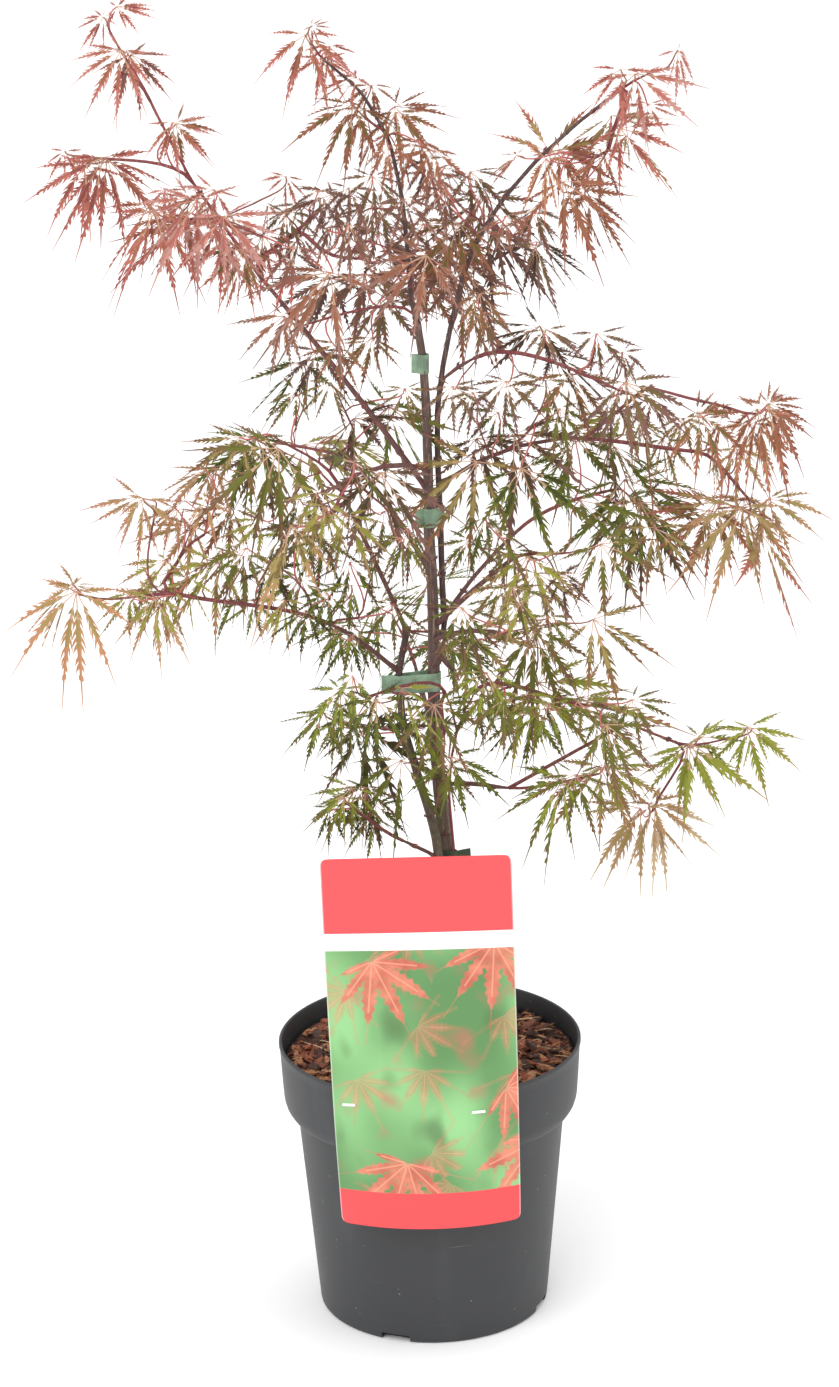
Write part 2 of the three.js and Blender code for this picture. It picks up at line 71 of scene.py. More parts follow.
def add_camera():
    """A long lens that looks down a little on the plant from the front."""
    distance, height = 2.3, 1.1591
    pitch, roll, yaw = 0.317, 0.0181, 0.0011
    data = bpy.data.cameras.new("camera")
    data.sensor_width = 36
    data.lens = 102.8
    camera = bpy.data.objects.new("camera", data)
    turn = Matrix.Rotation(yaw, 4, "Z") @ Matrix.Rotation(math.pi / 2 - pitch, 4, "X")
    camera.matrix_world = Matrix.Translation((0, -distance, height)) @ turn @ Matrix.Rotation(-roll, 4, "Z")
    bpy.context.scene.collection.objects.link(camera)
    bpy.context.scene.camera = camera


def add_lamp(name, kind, place, power, size):
    """A soft lamp that points at the plant's middle: size is metres, or radians for a sun."""
    plant_middle = Vector((0, 0, 0.4))
    data = bpy.data.lights.new(name, kind)
    data.energy = power
    if kind == "SUN":
        data.angle = size
    else:
        data.shape = "SQUARE"
        data.size = size
    lamp = bpy.data.objects.new(name, data)
    lamp.location = place
    lamp.rotation_euler = (plant_middle - Vector(place)).to_track_quat("-Z", "Y").to_euler()
    bpy.context.scene.collection.objects.link(lamp)


def add_studio():
    """White surroundings, soft light from the front and above, and a pale floor."""
    world = bpy.data.worlds.new("studio")
    world.use_nodes = True
    background = world.node_tree.nodes["Background"]
    background.inputs["Color"].default_value = (1, 1, 1, 1)
    background.inputs["Strength"].default_value = 0.78
    bpy.context.scene.world = world
    bpy.context.scene.view_settings.view_transform = "Standard"
    add_lamp("light_front", "SUN", (-1.0, -1.8, 2.1), 1.3, math.radians(50))
    add_lamp("light_above", "SUN", (0.5, 0.3, 2.6), 1.1, math.radians(70))
    add_lamp("lamp_left", "AREA", (-1.6, -1.2, 1.2), 7, 1.0)
    add_lamp("lamp_right", "AREA", (1.7, -0.9, 1.0), 6, 1.0)
    bpy.ops.mesh.primitive_grid_add(x_subdivisions=4, y_subdivisions=4, size=30)
    floor = bpy.context.object
    floor.name = "floor"
    pale = Finish("pale_floor", roughness=0.9)
    cloud = pale.noise(pale.object_place(), 0.7)
    pale.set("Base Color", pale.blend(cloud, (0.92, 0.92, 0.92), (0.94, 0.94, 0.94)))
    floor.data.materials.append(pale.material)


# ---- materials ----

class Field:
    """A shader socket that is reckoned with like a number."""

    def __init__(self, finish, socket):
        self.finish = finish
        self.socket = socket

    def reckon(self, operation, *values):
        """What a Math node makes of some values."""
        return self.finish.node("ShaderNodeMath", {"operation": operation}, *values)

    def __add__(self, other):
        return self.reckon("ADD", self, other)

    def __sub__(self, other):
        return self.reckon("SUBTRACT", self, other)

    def __rsub__(self, other):
        return self.reckon("SUBTRACT", other, self)

    def __mul__(self, other):
        return self.reckon("MULTIPLY", self, other)

    def __lt__(self, other):
        return self.reckon("LESS_THAN", self, other)

    def __gt__(self, other):
        return self.reckon("GREATER_THAN", self, other)

    def __pow__(self, other):
        return self.reckon("POWER", self, other)

    def __abs__(self):
        return self.reckon("ABSOLUTE", self)

    def held(self):
        """Kept between 0 and 1."""
        return self.finish.node("ShaderNodeClamp", {}, self)

    __radd__ = __add__
    __rmul__ = __mul__


class Finish:
    """One material, and the one method that adds any node to it."""

    def __init__(self, name, colour=(0.5, 0.5, 0.5), roughness=0.6, **constants):
        self.material = bpy.data.materials.new(name)
        self.material.use_nodes = True
        self.tree = self.material.node_tree
        self.shader = self.tree.nodes["Principled BSDF"]
        self.set("Base Color", (*colour, 1))
        self.set("Roughness", roughness)
        for socket, value in constants.items():
            self.set(socket.replace("_", " ").title().replace("Ior", "IOR"), value)
        self.material.diffuse_color = (*colour, 1)

    def set(self, socket, value):
        """Gives one of the shader's sockets a value or a link."""
        if isinstance(value, Field):
            self.tree.links.new(value.socket, self.shader.inputs[socket])
        else:
            self.shader.inputs[socket].default_value = value

    def node(self, kind, settings, *values, out=0, **named):
        """Adds a node: its settings first, then its sockets by order and by name."""
        made = self.tree.nodes.new(kind)
        for setting, value in settings.items():
            setattr(made, setting, value)
        for place, value in [*enumerate(values), *named.items()]:
            if isinstance(value, Field):
                self.tree.links.new(value.socket, made.inputs[place])
            else:
                made.inputs[place].default_value = value
        return Field(self, made.outputs[out])

    def object_place(self):
        return self.node("ShaderNodeTexCoord", {}, out="Object")

    def uv_place(self):
        return self.node("ShaderNodeTexCoord", {}, out="UV")

    def stretched(self, place, scale):
        return self.node("ShaderNodeMapping", {}, Vector=place, Scale=scale)

    def part_of(self, place, axis):
        """One coordinate of a place: 0, 1 or 2."""
        return self.node("ShaderNodeSeparateXYZ", {}, place, out=axis)

    def noise(self, place, scale, detail=3.0, distortion=0.0):
        return self.node("ShaderNodeTexNoise", {}, Vector=place, Scale=scale, Detail=detail,
                         Distortion=distortion, out="Fac")

    def cells(self, place, scale):
        return self.node("ShaderNodeTexVoronoi", {}, Vector=place, Scale=scale, out="Distance")

    def ranged(self, value, low, high):
        """0 where value is low, 1 where it is high, smooth between."""
        return self.node("ShaderNodeMapRange", {"interpolation_type": "SMOOTHSTEP"}, value, low, high)

    def blend(self, share, first, second):
        """The first colour where share is 0, the second where it is 1."""
        made = self.tree.nodes.new("ShaderNodeMix")
        made.data_type = "RGBA"
        for place, value in ((0, share), (6, first), (7, second)):
            if isinstance(value, Field):
                self.tree.links.new(value.socket, made.inputs[place])
            elif place == 0:
                made.inputs[place].default_value = value
            else:
                made.inputs[place].default_value = (*value, 1)
        return Field(self, made.outputs[2])

    def emboss(self, height, depth):
        """Fine relief in the shading, from a field of heights."""
        bump = self.node("ShaderNodeBump", {}, Strength=1.0, Distance=depth, Height=height)
        self.set("Normal", bump)


def rgb(red, green, blue):
    """A screen colour, 0 to 255, as the light that a shader takes."""
    shares = [value / 255 for value in (red, green, blue)]
    return tuple(s / 12.92 if s <= 0.04045 else ((s + 0.055) / 1.055) ** 2.4 for s in shares)


# ---- the plant's finishes ----

def bark_finish(name, foot, top, streak, foot_height, top_height, depth):
    """Bark that turns from one colour at foot_height to another at top_height, with pale streaks."""
    bark = Finish(name, top, 0.8)
    place = bark.object_place()
    height = bark.part_of(place, 2)
    rise = bark.ranged(height + 0.03 * bark.noise(place, 40), foot_height, top_height)
    base = bark.blend(rise, foot, top)
    mottle = bark.ranged(bark.noise(place, 210, detail=4), 0.42, 0.66)
    base = bark.blend(mottle * 0.45, base, tuple(0.45 * share for share in top))
    grain = bark.noise(bark.stretched(place, (900, 900, 60)), 1.0, detail=4, distortion=0.6)
    base = bark.blend(bark.ranged(grain, 0.54, 0.70) * 0.75, base, streak)
    spots = bark.cells(bark.stretched(place, (420, 420, 260)), 1.0)
    dots = bark.ranged(spots, 0.26, 0.12) * bark.ranged(bark.noise(place, 90), 0.45, 0.6)
    bark.set("Base Color", bark.blend(dots * 0.7, base, streak))
    bark.set("Roughness", bark.ranged(grain, 0.2, 0.9) * 0.25 + 0.65)
    bark.emboss(grain + dots * 0.6 + bark.noise(place, 500) * 0.5, depth)
    return bark


def plastic_finish():
    """Charcoal moulded plastic: fine grain, faint scratches round it, dust and a few pale specks."""
    plastic = Finish("pot_plastic", rgb(46, 47, 49), 0.5)
    place = plastic.object_place()
    cloud = plastic.noise(place, 14, detail=5)
    base = plastic.blend(cloud, rgb(38, 39, 41), rgb(54, 55, 57))
    bloom = plastic.ranged(plastic.noise(plastic.stretched(place, (30, 30, 9)), 1.0, detail=5), 0.52, 0.8)
    base = plastic.blend(bloom * 0.3, base, rgb(84, 86, 88))
    rubbed = plastic.noise(plastic.stretched(place, (18, 18, 950)), 1.0, detail=3, distortion=0.3)
    where = plastic.ranged(plastic.noise(place, 23), 0.52, 0.68)
    marks = plastic.ranged(rubbed, 0.66, 0.74) * where
    base = plastic.blend(marks * 0.45, base, rgb(118, 116, 114))
    dusty = plastic.ranged(plastic.noise(place, 60), 0.5, 0.62)
    specks = plastic.ranged(plastic.cells(place, 160), 0.10, 0.05) * dusty
    plastic.set("Base Color", plastic.blend(specks * 0.7, base, rgb(150, 142, 130)))
    plastic.set("Roughness", cloud * 0.2 + marks * 0.15 + 0.42)
    plastic.emboss(plastic.noise(place, 1500, detail=2) + marks * 0.6, 0.05 * MM)
    return plastic


def chip_finish(name, dark, light):
    """One shade of bark chip: split grain that runs in fine streaks."""
    chip = Finish(name, light, 0.9)
    place = chip.object_place()
    streaks = chip.noise(chip.stretched(place, (500, 900, 700)), 1.0, detail=4, distortion=1.2)
    patches = chip.noise(place, 130, detail=2)
    base = chip.blend(chip.ranged(streaks, 0.35, 0.65), dark, light)
    damp = tuple(0.5 * share for share in dark)
    chip.set("Base Color", chip.blend(chip.ranged(patches, 0.5, 0.7) * 0.5, base, damp))
    chip.emboss(streaks, 0.3 * MM)
    return chip


def tape_finish(name, colour):
    """Stretch tape: matt, finely ribbed across, paler where it is drawn tight."""
    tape = Finish(name, colour, 0.6)
    place = tape.object_place()
    worn = tape.noise(place, 120, detail=4)
    pale = tuple(min(1, share * 1.35) for share in colour)
    dull = tuple(share * 0.72 for share in colour)
    tape.set("Base Color", tape.blend(tape.ranged(worn, 0.3, 0.7), dull, pale))
    ribs = tape.node("ShaderNodeTexWave", {"bands_direction": "Z"}, Vector=place, Scale=420.0, out="Fac")
    tape.set("Roughness", worn * 0.2 + 0.5)
    tape.emboss(ribs * 0.6 + worn, 0.12 * MM)
    return tape


def print_finish(width, height):
    """The card's print: plain coral header, white strip, blurred garden greens with coral maple
    leaves, and a plain coral foot. Its own UV map runs from 0 to 1 across and up the card."""
    card = Finish("card_print", rgb(82, 150, 74), 0.3, coat_weight=0.15)
    uv = card.uv_place()
    across, up = card.part_of(uv, 0), card.part_of(uv, 1)
    blur = card.noise(card.stretched(uv, (1.6, 2.6, 1)), 1.0, detail=1)
    garden = card.blend(card.ranged(blur, 0.34, 0.66), rgb(82, 130, 72), rgb(138, 194, 128))
    deep = card.noise(card.stretched(uv, (3.1, 4.4, 1)), 1.3, detail=1)
    garden = card.blend(card.ranged(deep, 0.54, 0.74) * 0.75, garden, rgb(74, 108, 56))
    rosy = card.noise(card.stretched(uv, (2.7, 5.2, 1)), 1.7, detail=1)
    garden = card.blend(card.ranged(rosy, 0.56, 0.76) * 0.6, garden, rgb(176, 96, 84))
    shade = card.ranged(card.noise(card.stretched(uv, (9, 16, 1)), 1.0), 0.3, 0.7)
    for per_metre, softness, share in ((24, 0.05, 0.45), (13.5, 0.010, 0.85)):
        plane = card.stretched(uv, (width * per_metre, height * per_metre, 1))
        leaves, ribs = printed_leaves(card, plane, softness)
        coral = card.blend(shade, rgb(190, 78, 66), rgb(222, 124, 102))
        coral = card.blend(ribs * 0.6, coral, rgb(236, 160, 132))
        garden = card.blend(leaves * share, garden, coral)
    foot_edge, strip_low, strip_high = 0.098, 0.757, 0.803
    face = card.blend(up < foot_edge, garden, rgb(226, 66, 70))
    face = card.blend(up > strip_low, face, rgb(240, 240, 238))
    face = card.blend(up > strip_high, face, rgb(238, 70, 74))
    margin = abs(across - 0.5) > 0.494
    card.set("Base Color", card.blend(margin * 0.3, face, rgb(244, 244, 244)))
    sheen = card.noise(card.stretched(uv, (6, 10, 1)), 1.0)
    card.set("Roughness", sheen * 0.15 + 0.26)
    card.emboss(card.noise(card.stretched(uv, (40, 80, 1)), 1.0), 0.08 * MM)
    return card


def printed_leaves(finish, place, softness):
    """Masks of scattered maple leaves and of their ribs, one leaf to a cell of the plane.

    The angle round a leaf is folded into lobes, and each lobe is a toothed blade about its own rib.
    """
    flat = {"voronoi_dimensions": "2D"}
    scatter = {"Vector": place, "Scale": 1.0, "Randomness": 0.7}
    centre = finish.node("ShaderNodeTexVoronoi", flat, **scatter, out="Position")
    chance = finish.node("ShaderNodeTexVoronoi", flat, **scatter, out="Color")
    offset = finish.node("ShaderNodeVectorMath", {"operation": "SUBTRACT"}, place, centre)
    x, y = finish.part_of(offset, 0), finish.part_of(offset, 1) - 0.16
    turn = finish.part_of(chance, 1) * 2.4 - 1.2
    angle = x.reckon("ARCTAN2", x, 0 - y) + turn
    reach = (x * x + y * y) ** 0.5
    spacing, lobes = 0.52, 3.4
    order = (angle * (1 / spacing)).reckon("ROUND", angle * (1 / spacing))
    aside = angle - order * spacing
    length = (0.6 - order * order * 0.035) * (abs(order) < lobes)
    along = reach * aside.reckon("COSINE", aside)
    across = abs(reach * aside.reckon("SINE", aside))
    share = (along.reckon("DIVIDE", along, length + 0.001)).held()
    teeth = abs((share * 8).reckon("FRACT", share * 8) - 0.5)
    half = (share ** 0.9) * ((1 - share) ** 0.9) * (teeth * 0.9 + 0.75) * length * 0.36
    present = (finish.part_of(chance, 0) > 0.3) * (length > 0.05)
    leaf = finish.ranged(half - across, -softness, softness) * present
    rib = finish.ranged(across, 0.010, 0.004) * (share < 0.8) * present
    return leaf, rib


# ---- steps that many pieces share ----

def start_fresh():
    """Nothing selected, so that an operator acts on the new primitive alone."""
    if bpy.context.object and bpy.context.object.mode != "OBJECT":
        bpy.ops.object.mode_set(mode="OBJECT")
    bpy.ops.object.select_all(action="DESELECT")


def apply_modifiers(piece):
    """Every modifier of a piece becomes part of its mesh, in order."""
    bpy.context.view_layer.objects.active = piece
    for modifier in list(piece.modifiers):
        bpy.ops.object.modifier_apply(modifier=modifier.name)


def finish_piece(piece, name, finishes, replaced=(), smooth=True):
    """Names a piece, gives it its materials, and ties it to the plant's one body."""
    piece.name = name
    piece.data.name = name
    piece.data.materials.clear()
    for finish in finishes:
        piece.data.materials.append(finish.material)
    piece.data.polygons.foreach_set("use_smooth", [smooth] * len(piece.data.polygons))
    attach(piece, "root")
    if replaced:
        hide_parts(*replaced)


def smooth_by_angle(piece, degrees):
    """Smooth shading, but for edges that are sharper than an angle."""
    start_fresh()
    piece.select_set(True)
    bpy.context.view_layer.objects.active = piece
    bpy.ops.object.shade_smooth_by_angle(angle=math.radians(degrees))


class Pile:
    """Many small shapes, gathered to be joined as one mesh."""

    def __init__(self):
        self.points = []
        self.faces = []
        self.tints = []
        self.count = 0

    def add(self, points, faces, tints=0):
        """Adds one shape: tints are its faces' materials, or one for them all."""
        self.points.append(np.asarray(points, float))
        self.faces += [[corner + self.count for corner in face] for face in faces]
        self.tints += [tints] * len(faces) if np.isscalar(tints) else list(tints)
        self.count += len(points)

    def piece(self, name, slot, finishes, replaced=(), smooth=True):
        """All the shapes so far as one piece."""
        mesh = bpy.data.meshes.new(name)
        mesh.from_pydata(np.concatenate(self.points).tolist(), [], self.faces)
        made = bpy.data.objects.new(name, mesh)
        bpy.context.scene.collection.objects.link(made)
        finish_piece(made, name, finishes, replaced, smooth)
        mesh.polygons.foreach_set("material_index", self.tints)
        return made


def unit(vector):
    return vector / max(np.linalg.norm(vector), 1e-9)


def bezier(start, lead, trail, end, count):
    """Points along a curve that leaves start towards lead and reaches end from trail."""
    t = np.linspace(0, 1, count)[:, None]
    return ((1 - t) ** 3 * start + 3 * (1 - t) ** 2 * t * lead
            + 3 * (1 - t) * t ** 2 * trail + t ** 3 * end)


def rod(path, radii, sides):
    """Points and faces of a closed round rod along a path."""
    along = np.gradient(path, axis=0)
    along /= np.linalg.norm(along, axis=1)[:, None]
    guide = np.eye(3)[np.argmin(np.abs(along.mean(axis=0)))]
    across = np.cross(along, guide)
    across /= np.linalg.norm(across, axis=1)[:, None]
    over = np.cross(along, across)
    turn = np.arange(sides) * 2 * math.pi / sides
    ring = np.cos(turn)[None, :, None] * across[:, None] + np.sin(turn)[None, :, None] * over[:, None]
    points = (path[:, None] + np.asarray(radii)[:, None, None] * ring).reshape(-1, 3)
    faces = []
    for row in range(len(path) - 1):
        for side in range(sides):
            after = (side + 1) % sides
            low, high = row * sides, (row + 1) * sides
            faces.append([low + side, low + after, high + after, high + side])
    faces.append(list(range(sides))[::-1])
    faces.append([(len(path) - 1) * sides + side for side in range(sides)])
    return points, faces


# ---- limbs, read from the frame ----

def node_points(node):
    """A measured solid's corners, one to a row."""
    mesh = frame["nodes"][node].data
    points = np.empty(len(mesh.vertices) * 3)
    mesh.vertices.foreach_get("co", points)
    return points.reshape(-1, 3)


def centre_line(node, toward, count):
    """A limb's centre points and radii, found by slicing its solid across its length.

    toward is a point near the limb's foot, which tells the foot from the tip.
    """
    points = node_points(node)
    middle = points.mean(axis=0)
    axis = np.linalg.svd(points - middle, full_matrices=False)[2][0]
    if (toward - middle) @ axis > 0:
        axis = -axis
    edges = np.array([edge.vertices[:] for edge in frame["nodes"][node].data.edges])
    start, end = points[edges[:, 0]], points[edges[:, 1]]
    low, high = start @ axis, end @ axis
    bottom, top = min(low.min(), high.min()), max(low.max(), high.max())
    centres, radii = [], []
    for share in np.linspace(0.02, 0.98, count):
        level = bottom + (top - bottom) * share
        crossing = (low - level) * (high - level) < 0
        part = ((level - low[crossing]) / (high - low)[crossing])[:, None]
        cut = start[crossing] * (1 - part) + end[crossing] * part
        if len(cut) < 3:
            continue
        spread = np.linalg.svd(cut - cut.mean(axis=0), compute_uv=False)
        centres.append(cut.mean(axis=0))
        radii.append(spread[1] * math.sqrt(2 / len(cut)))
    return np.array(centres), np.array(radii)


def evened(values):
    """A row of values with each averaged with its neighbours."""
    padded = np.concatenate([values[:1], values, values[-1:]])
    return (padded[:-2] + 2 * padded[1:-1] + padded[2:]) / 4


class Wood:
    """All the wood grown so far, as points that each know the point they grew from."""

    def __init__(self):
        self.places = []
        self.parents = []
        self.load = []
        self.tips = []

    def extend(self, parent, path, is_limb=False):
        """Adds a path that grows from parent, and gives the indices of its points."""
        made = []
        for place in path:
            self.places.append(np.asarray(place, float))
            self.parents.append(parent)
            self.load.append(0)
            parent = len(self.places) - 1
            made.append(parent)
        if is_limb:
            self.tips.append(made[-1])
        return made

    def nearest(self, place, among=None):
        """The index of the point nearest to a place, and how far off it is."""
        chosen = range(len(self.places)) if among is None else among
        gaps = [np.linalg.norm(self.places[i] - place) for i in chosen]
        best = int(np.argmin(gaps))
        return list(chosen)[best], gaps[best]

    def heading(self, index):
        """The direction in which the wood grows at a point."""
        parent = self.parents[index]
        if parent < 0:
            return -DOWN
        return unit(self.places[index] - self.places[parent])

    def bear(self, index):
        """One more leaf hangs on this point and on all that it grew from."""
        while index >= 0:
            self.load[index] += 1
            index = self.parents[index]


wood = Wood()
STEM_FOOT = np.array([0.008, 0, 0.2])
GRAFT_HEIGHT = 0.292
LOW_TIE_HEIGHT = 0.300


def bark_limb(name, line, radii, sides, roughness, finish):
    """A limb with bark: a rod pulled up ring by ring, roughened, then bent along its centre line.

    It is roughened while squeezed short, so that the ridges run long once it is drawn out.
    """
    steps = np.linalg.norm(np.diff(line, axis=0), axis=1)
    squeeze = 0.2
    start_fresh()
    bpy.ops.mesh.primitive_circle_add(vertices=sides, radius=radii[0], fill_type="NGON")
    piece = bpy.context.object
    bpy.ops.object.mode_set(mode="EDIT")
    height = 0.0
    for step, radius, before in zip(steps, radii[1:], radii[:-1]):
        rise = step * squeeze
        height += rise
        bpy.ops.mesh.extrude_region_move(TRANSFORM_OT_translate={"value": (0, 0, rise)})
        share = radius / before
        bpy.ops.transform.resize(value=(share, share, 1), center_override=(0, 0, height))
    bpy.ops.mesh.select_all(action="SELECT")
    bpy.ops.mesh.normals_make_consistent(inside=False)
    bpy.ops.object.mode_set(mode="OBJECT")
    grain = bpy.data.textures.new(name + "_grain", "CLOUDS")
    grain.noise_scale = 2.2 * MM
    grain.noise_depth = 3
    ridges = piece.modifiers.new("ridges", "DISPLACE")
    ridges.texture = grain
    ridges.texture_coords = "LOCAL"
    ridges.mid_level = 0.5
    ridges.strength = roughness
    apply_modifiers(piece)
    bpy.ops.object.mode_set(mode="EDIT")
    bpy.ops.mesh.select_all(action="SELECT")
    bpy.ops.transform.resize(value=(1, 1, 1 / squeeze), center_override=(0, 0, 0))
    bpy.ops.object.mode_set(mode="OBJECT")
    bend_along(piece, line)
    finish_piece(piece, name, [finish], [name] if name in frame["nodes"] else ())
    return piece


def bend_along(piece, line):
    """Bends a straight piece that stands on the origin so that it follows a centre line."""
    data = bpy.data.curves.new("centre_line", "CURVE")
    data.dimensions = "3D"
    data.resolution_u = 8
    spline = data.splines.new("BEZIER")
    spline.bezier_points.add(len(line) - 1)
    for knot, place in zip(spline.bezier_points, line):
        knot.co = place
        knot.handle_left_type = "AUTO"
        knot.handle_right_type = "AUTO"
    guide = bpy.data.objects.new("centre_line", data)
    bpy.context.scene.collection.objects.link(guide)
    bend = piece.modifiers.new("bend", "CURVE")
    bend.object = guide
    bend.deform_axis = "POS_Z"
    apply_modifiers(piece)
    bpy.data.objects.remove(guide)


def resampled(line, radii, gap):
    """The same line with points an even gap apart."""
    lengths = np.concatenate([[0], np.cumsum(np.linalg.norm(np.diff(line, axis=0), axis=1))])
    count = max(4, int(lengths[-1] / gap))
    spots = np.linspace(0, lengths[-1], count)
    places = np.stack([np.interp(spots, lengths, line[:, axis]) for axis in range(3)], axis=1)
    return places, np.interp(spots, lengths, radii)


def grow_trunk(finish):
    """The trunk, with the swelling where it was grafted; gives the part that bears buds."""
    first_bud_row, graft_swell, graft_reach = 18, 1.1 * MM, 9 * MM
    foot = np.array([0, 0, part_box("soil")[1].z])
    line, radii = centre_line("trunk", foot, 26)
    line, radii = resampled(line, evened(radii), 6 * MM)
    knob = np.exp(-((line[:, 2] - GRAFT_HEIGHT) / graft_reach) ** 2)
    radii = radii + graft_swell * knob
    wood.extend(-1, line, is_limb=True)
    bark_limb("trunk", line, radii, 28, 1.1 * MM, finish)
    return line[first_bud_row:], radii[first_bud_row:]


def grow_limb(node, finish):
    """A stem or bough, carried on from the wood that bears it with a collar at the joint."""
    collar, least_radius, ring_gap = 1.35, 0.7 * MM, 7 * MM
    toward = STEM_FOOT
    if not node.endswith("_stem"):
        ends = node_points(node)
        toward = min(ends, key=lambda place: wood.nearest(place)[1])
    line, radii = centre_line(node, toward, 14)
    radii = np.maximum(evened(radii), least_radius)
    radii[:3] = radii[3]
    parent, _ = wood.nearest(line[0] + 4 * MM * DOWN)
    root = wood.places[parent]
    line = np.concatenate([[root], line])
    radii = np.concatenate([[radii[0] * collar], radii])
    line, radii = resampled(line, radii, ring_gap)
    wood.extend(parent, line[1:], is_limb=True)
    bark_limb(node, line, radii, 16, 0.5 * MM, finish)
    return line, radii


def grow_side_shoot(finish):
    """A thin dark shoot that rises beside the trunk and forks at its top."""
    knots = [(20, -5, 165), (19, -5, 205), (18, -4, 255), (17, -4, 302), (14.5, -6, 339), (16, -5, 363),
             (20, -4, 381)]
    forks = [(25, -8, 396), (31, -12, 408)], [(17, -9, 397), (13, -15, 410)]
    line, radii = resampled(np.array(knots) * MM, np.linspace(1.15, 0.75, len(knots)) * MM, 8 * MM)
    made = wood.extend(-1, line, is_limb=True)
    bark_limb("side_shoot", line, radii, 10, 0.2 * MM, finish)
    for order, rise in enumerate(forks):
        path = np.concatenate([line[-1:], np.array(rise) * MM])
        fork, thin = resampled(path, np.array([0.75, 0.65, 0.5]) * MM, 5 * MM)
        wood.extend(made[-1], fork[1:], is_limb=True)
        bark_limb("side_shoot_fork_%d" % order, fork, thin, 8, 0.1 * MM, finish)


# ---- leaves ----

# One lobe of unit length: (distance along its rib, half width of the blade there).
RIB = [(0, 0.006), (0.18, 0.007), (0.28, 0.018), (0.40, 0.028), (0.52, 0.026), (0.64, 0.017),
       (0.80, 0.009), (1, 0.003)]
# Pairs of teeth as shares of a lobe's length: where each leaves the rib, and its own length.
TEETH = [(0.19, 0.10), (0.26, 0.15), (0.33, 0.17), (0.41, 0.16), (0.49, 0.14), (0.57, 0.115),
         (0.65, 0.085), (0.73, 0.05)]
FOLD = 0.35  # how far a lobe's edges rise beside its rib, as a share of the distance from it
STALK, HEART, BLADE, TIPS = range(4)  # the zones of a leaf, each with a tint of its own


def lobe_pattern(rng):
    """One lobe of unit length, flat: points as (along, across, lift), faces, and each face's zone.

    A narrow blade folded along its rib carries pairs of pointed teeth that lean forward.
    """
    points, faces, zones = [], [], []
    for along, half in RIB:
        points += [(along, -half, FOLD * half), (along, 0, 0), (along, half, FOLD * half)]
    for row in range(len(RIB) - 1):
        start = RIB[row][0]
        first = 3 * row
        for left in (first, first + 1):
            faces.append([left, left + 3, left + 4, left + 1])
            zones.append(STALK if start < 0.2 else HEART if start < 0.5 else BLADE if start < 0.7 else TIPS)
    stations = np.array(RIB)
    for start, length in TEETH:
        for side in (-1, 1):
            begin = start + rng.uniform(-0.018, 0.018)
            reach = length * rng.uniform(0.75, 1.2)
            lean = math.radians(rng.uniform(14, 26))
            half = np.interp(begin, stations[:, 0], stations[:, 1]) * 0.7
            root = (begin - 0.015, half * 0.3)
            heel = (begin + 0.05, half)
            tip = (begin + reach * math.cos(lean), half + reach * math.sin(lean))
            belly = (begin + 0.4 * reach, half + 0.42 * reach * math.sin(lean) + 0.010)
            outline = [root, belly, tip, heel] if side < 0 else [root, heel, tip, belly]
            first = len(points)
            points += [(along, side * across, FOLD * across) for along, across in outline]
            faces.append([first, first + 1, first + 2, first + 3])
            zones.append(HEART if begin < 0.24 else BLADE if begin < 0.52 else TIPS)
    return np.array(points), faces, zones


class LeafMaker:
    """Draws cut leaves: long toothed lobes that fan from the end of a thin stalk."""

    FANS = [
        [(0, 1.0), (31, 0.97), (-31, 0.97), (65, 0.82), (-65, 0.82), (106, 0.58), (-106, 0.58)],
        [(0, 1.0), (27, 0.98), (-27, 0.98), (55, 0.88), (-55, 0.88), (88, 0.68), (-88, 0.68),
         (130, 0.46), (-130, 0.46)],
    ]

    def __init__(self, seed):
        self.rng = np.random.default_rng(seed)
        self.patterns = [lobe_pattern(self.rng) for _ in range(8)]

    def draw(self, pile, hub, forward, facing, length, tints, sag):
        """Adds one leaf in the plane that faces facing. tints are those of its zones."""
        rng = self.rng
        side = unit(np.cross(forward, facing))
        facing = np.cross(side, forward)
        fan = self.FANS[int(rng.random() < 0.4)]
        cup = rng.uniform(-0.05, 0.3)
        skip = rng.integers(-12, len(fan))
        for order, (turn, share) in enumerate(fan):
            if order == skip and order > 2:
                continue
            angle = math.radians(turn + rng.uniform(-8, 8))
            lean = unit(math.cos(angle) * forward + math.sin(angle) * side
                        - cup * (1 - 0.8 * math.cos(angle)) * facing + rng.normal(0, 0.09, 3))
            lean = unit(lean + (0.04 + 0.45 * max(0, lean[2] + 0.05)) * DOWN)
            points, faces, zones = self.patterns[rng.integers(len(self.patterns))]
            reach = length * share * rng.uniform(0.88, 1.1)
            across = unit(np.cross(lean, facing))
            across = unit(across + rng.uniform(-0.6, 0.6) * np.cross(across, lean))
            over = np.cross(across, lean)
            along = points[:, :1]
            bend = sag * rng.uniform(0.5, 1.4) * share
            swing = rng.normal(0, 0.05)
            spine = hub + reach * (along * lean + bend * along ** 2 * DOWN + swing * along ** 2 * across)
            width = reach * rng.uniform(0.85, 1.15)
            place = spine + width * (points[:, 1:2] * across + points[:, 2:] * over)
            pile.add(place, faces, [tints[zone] for zone in zones])


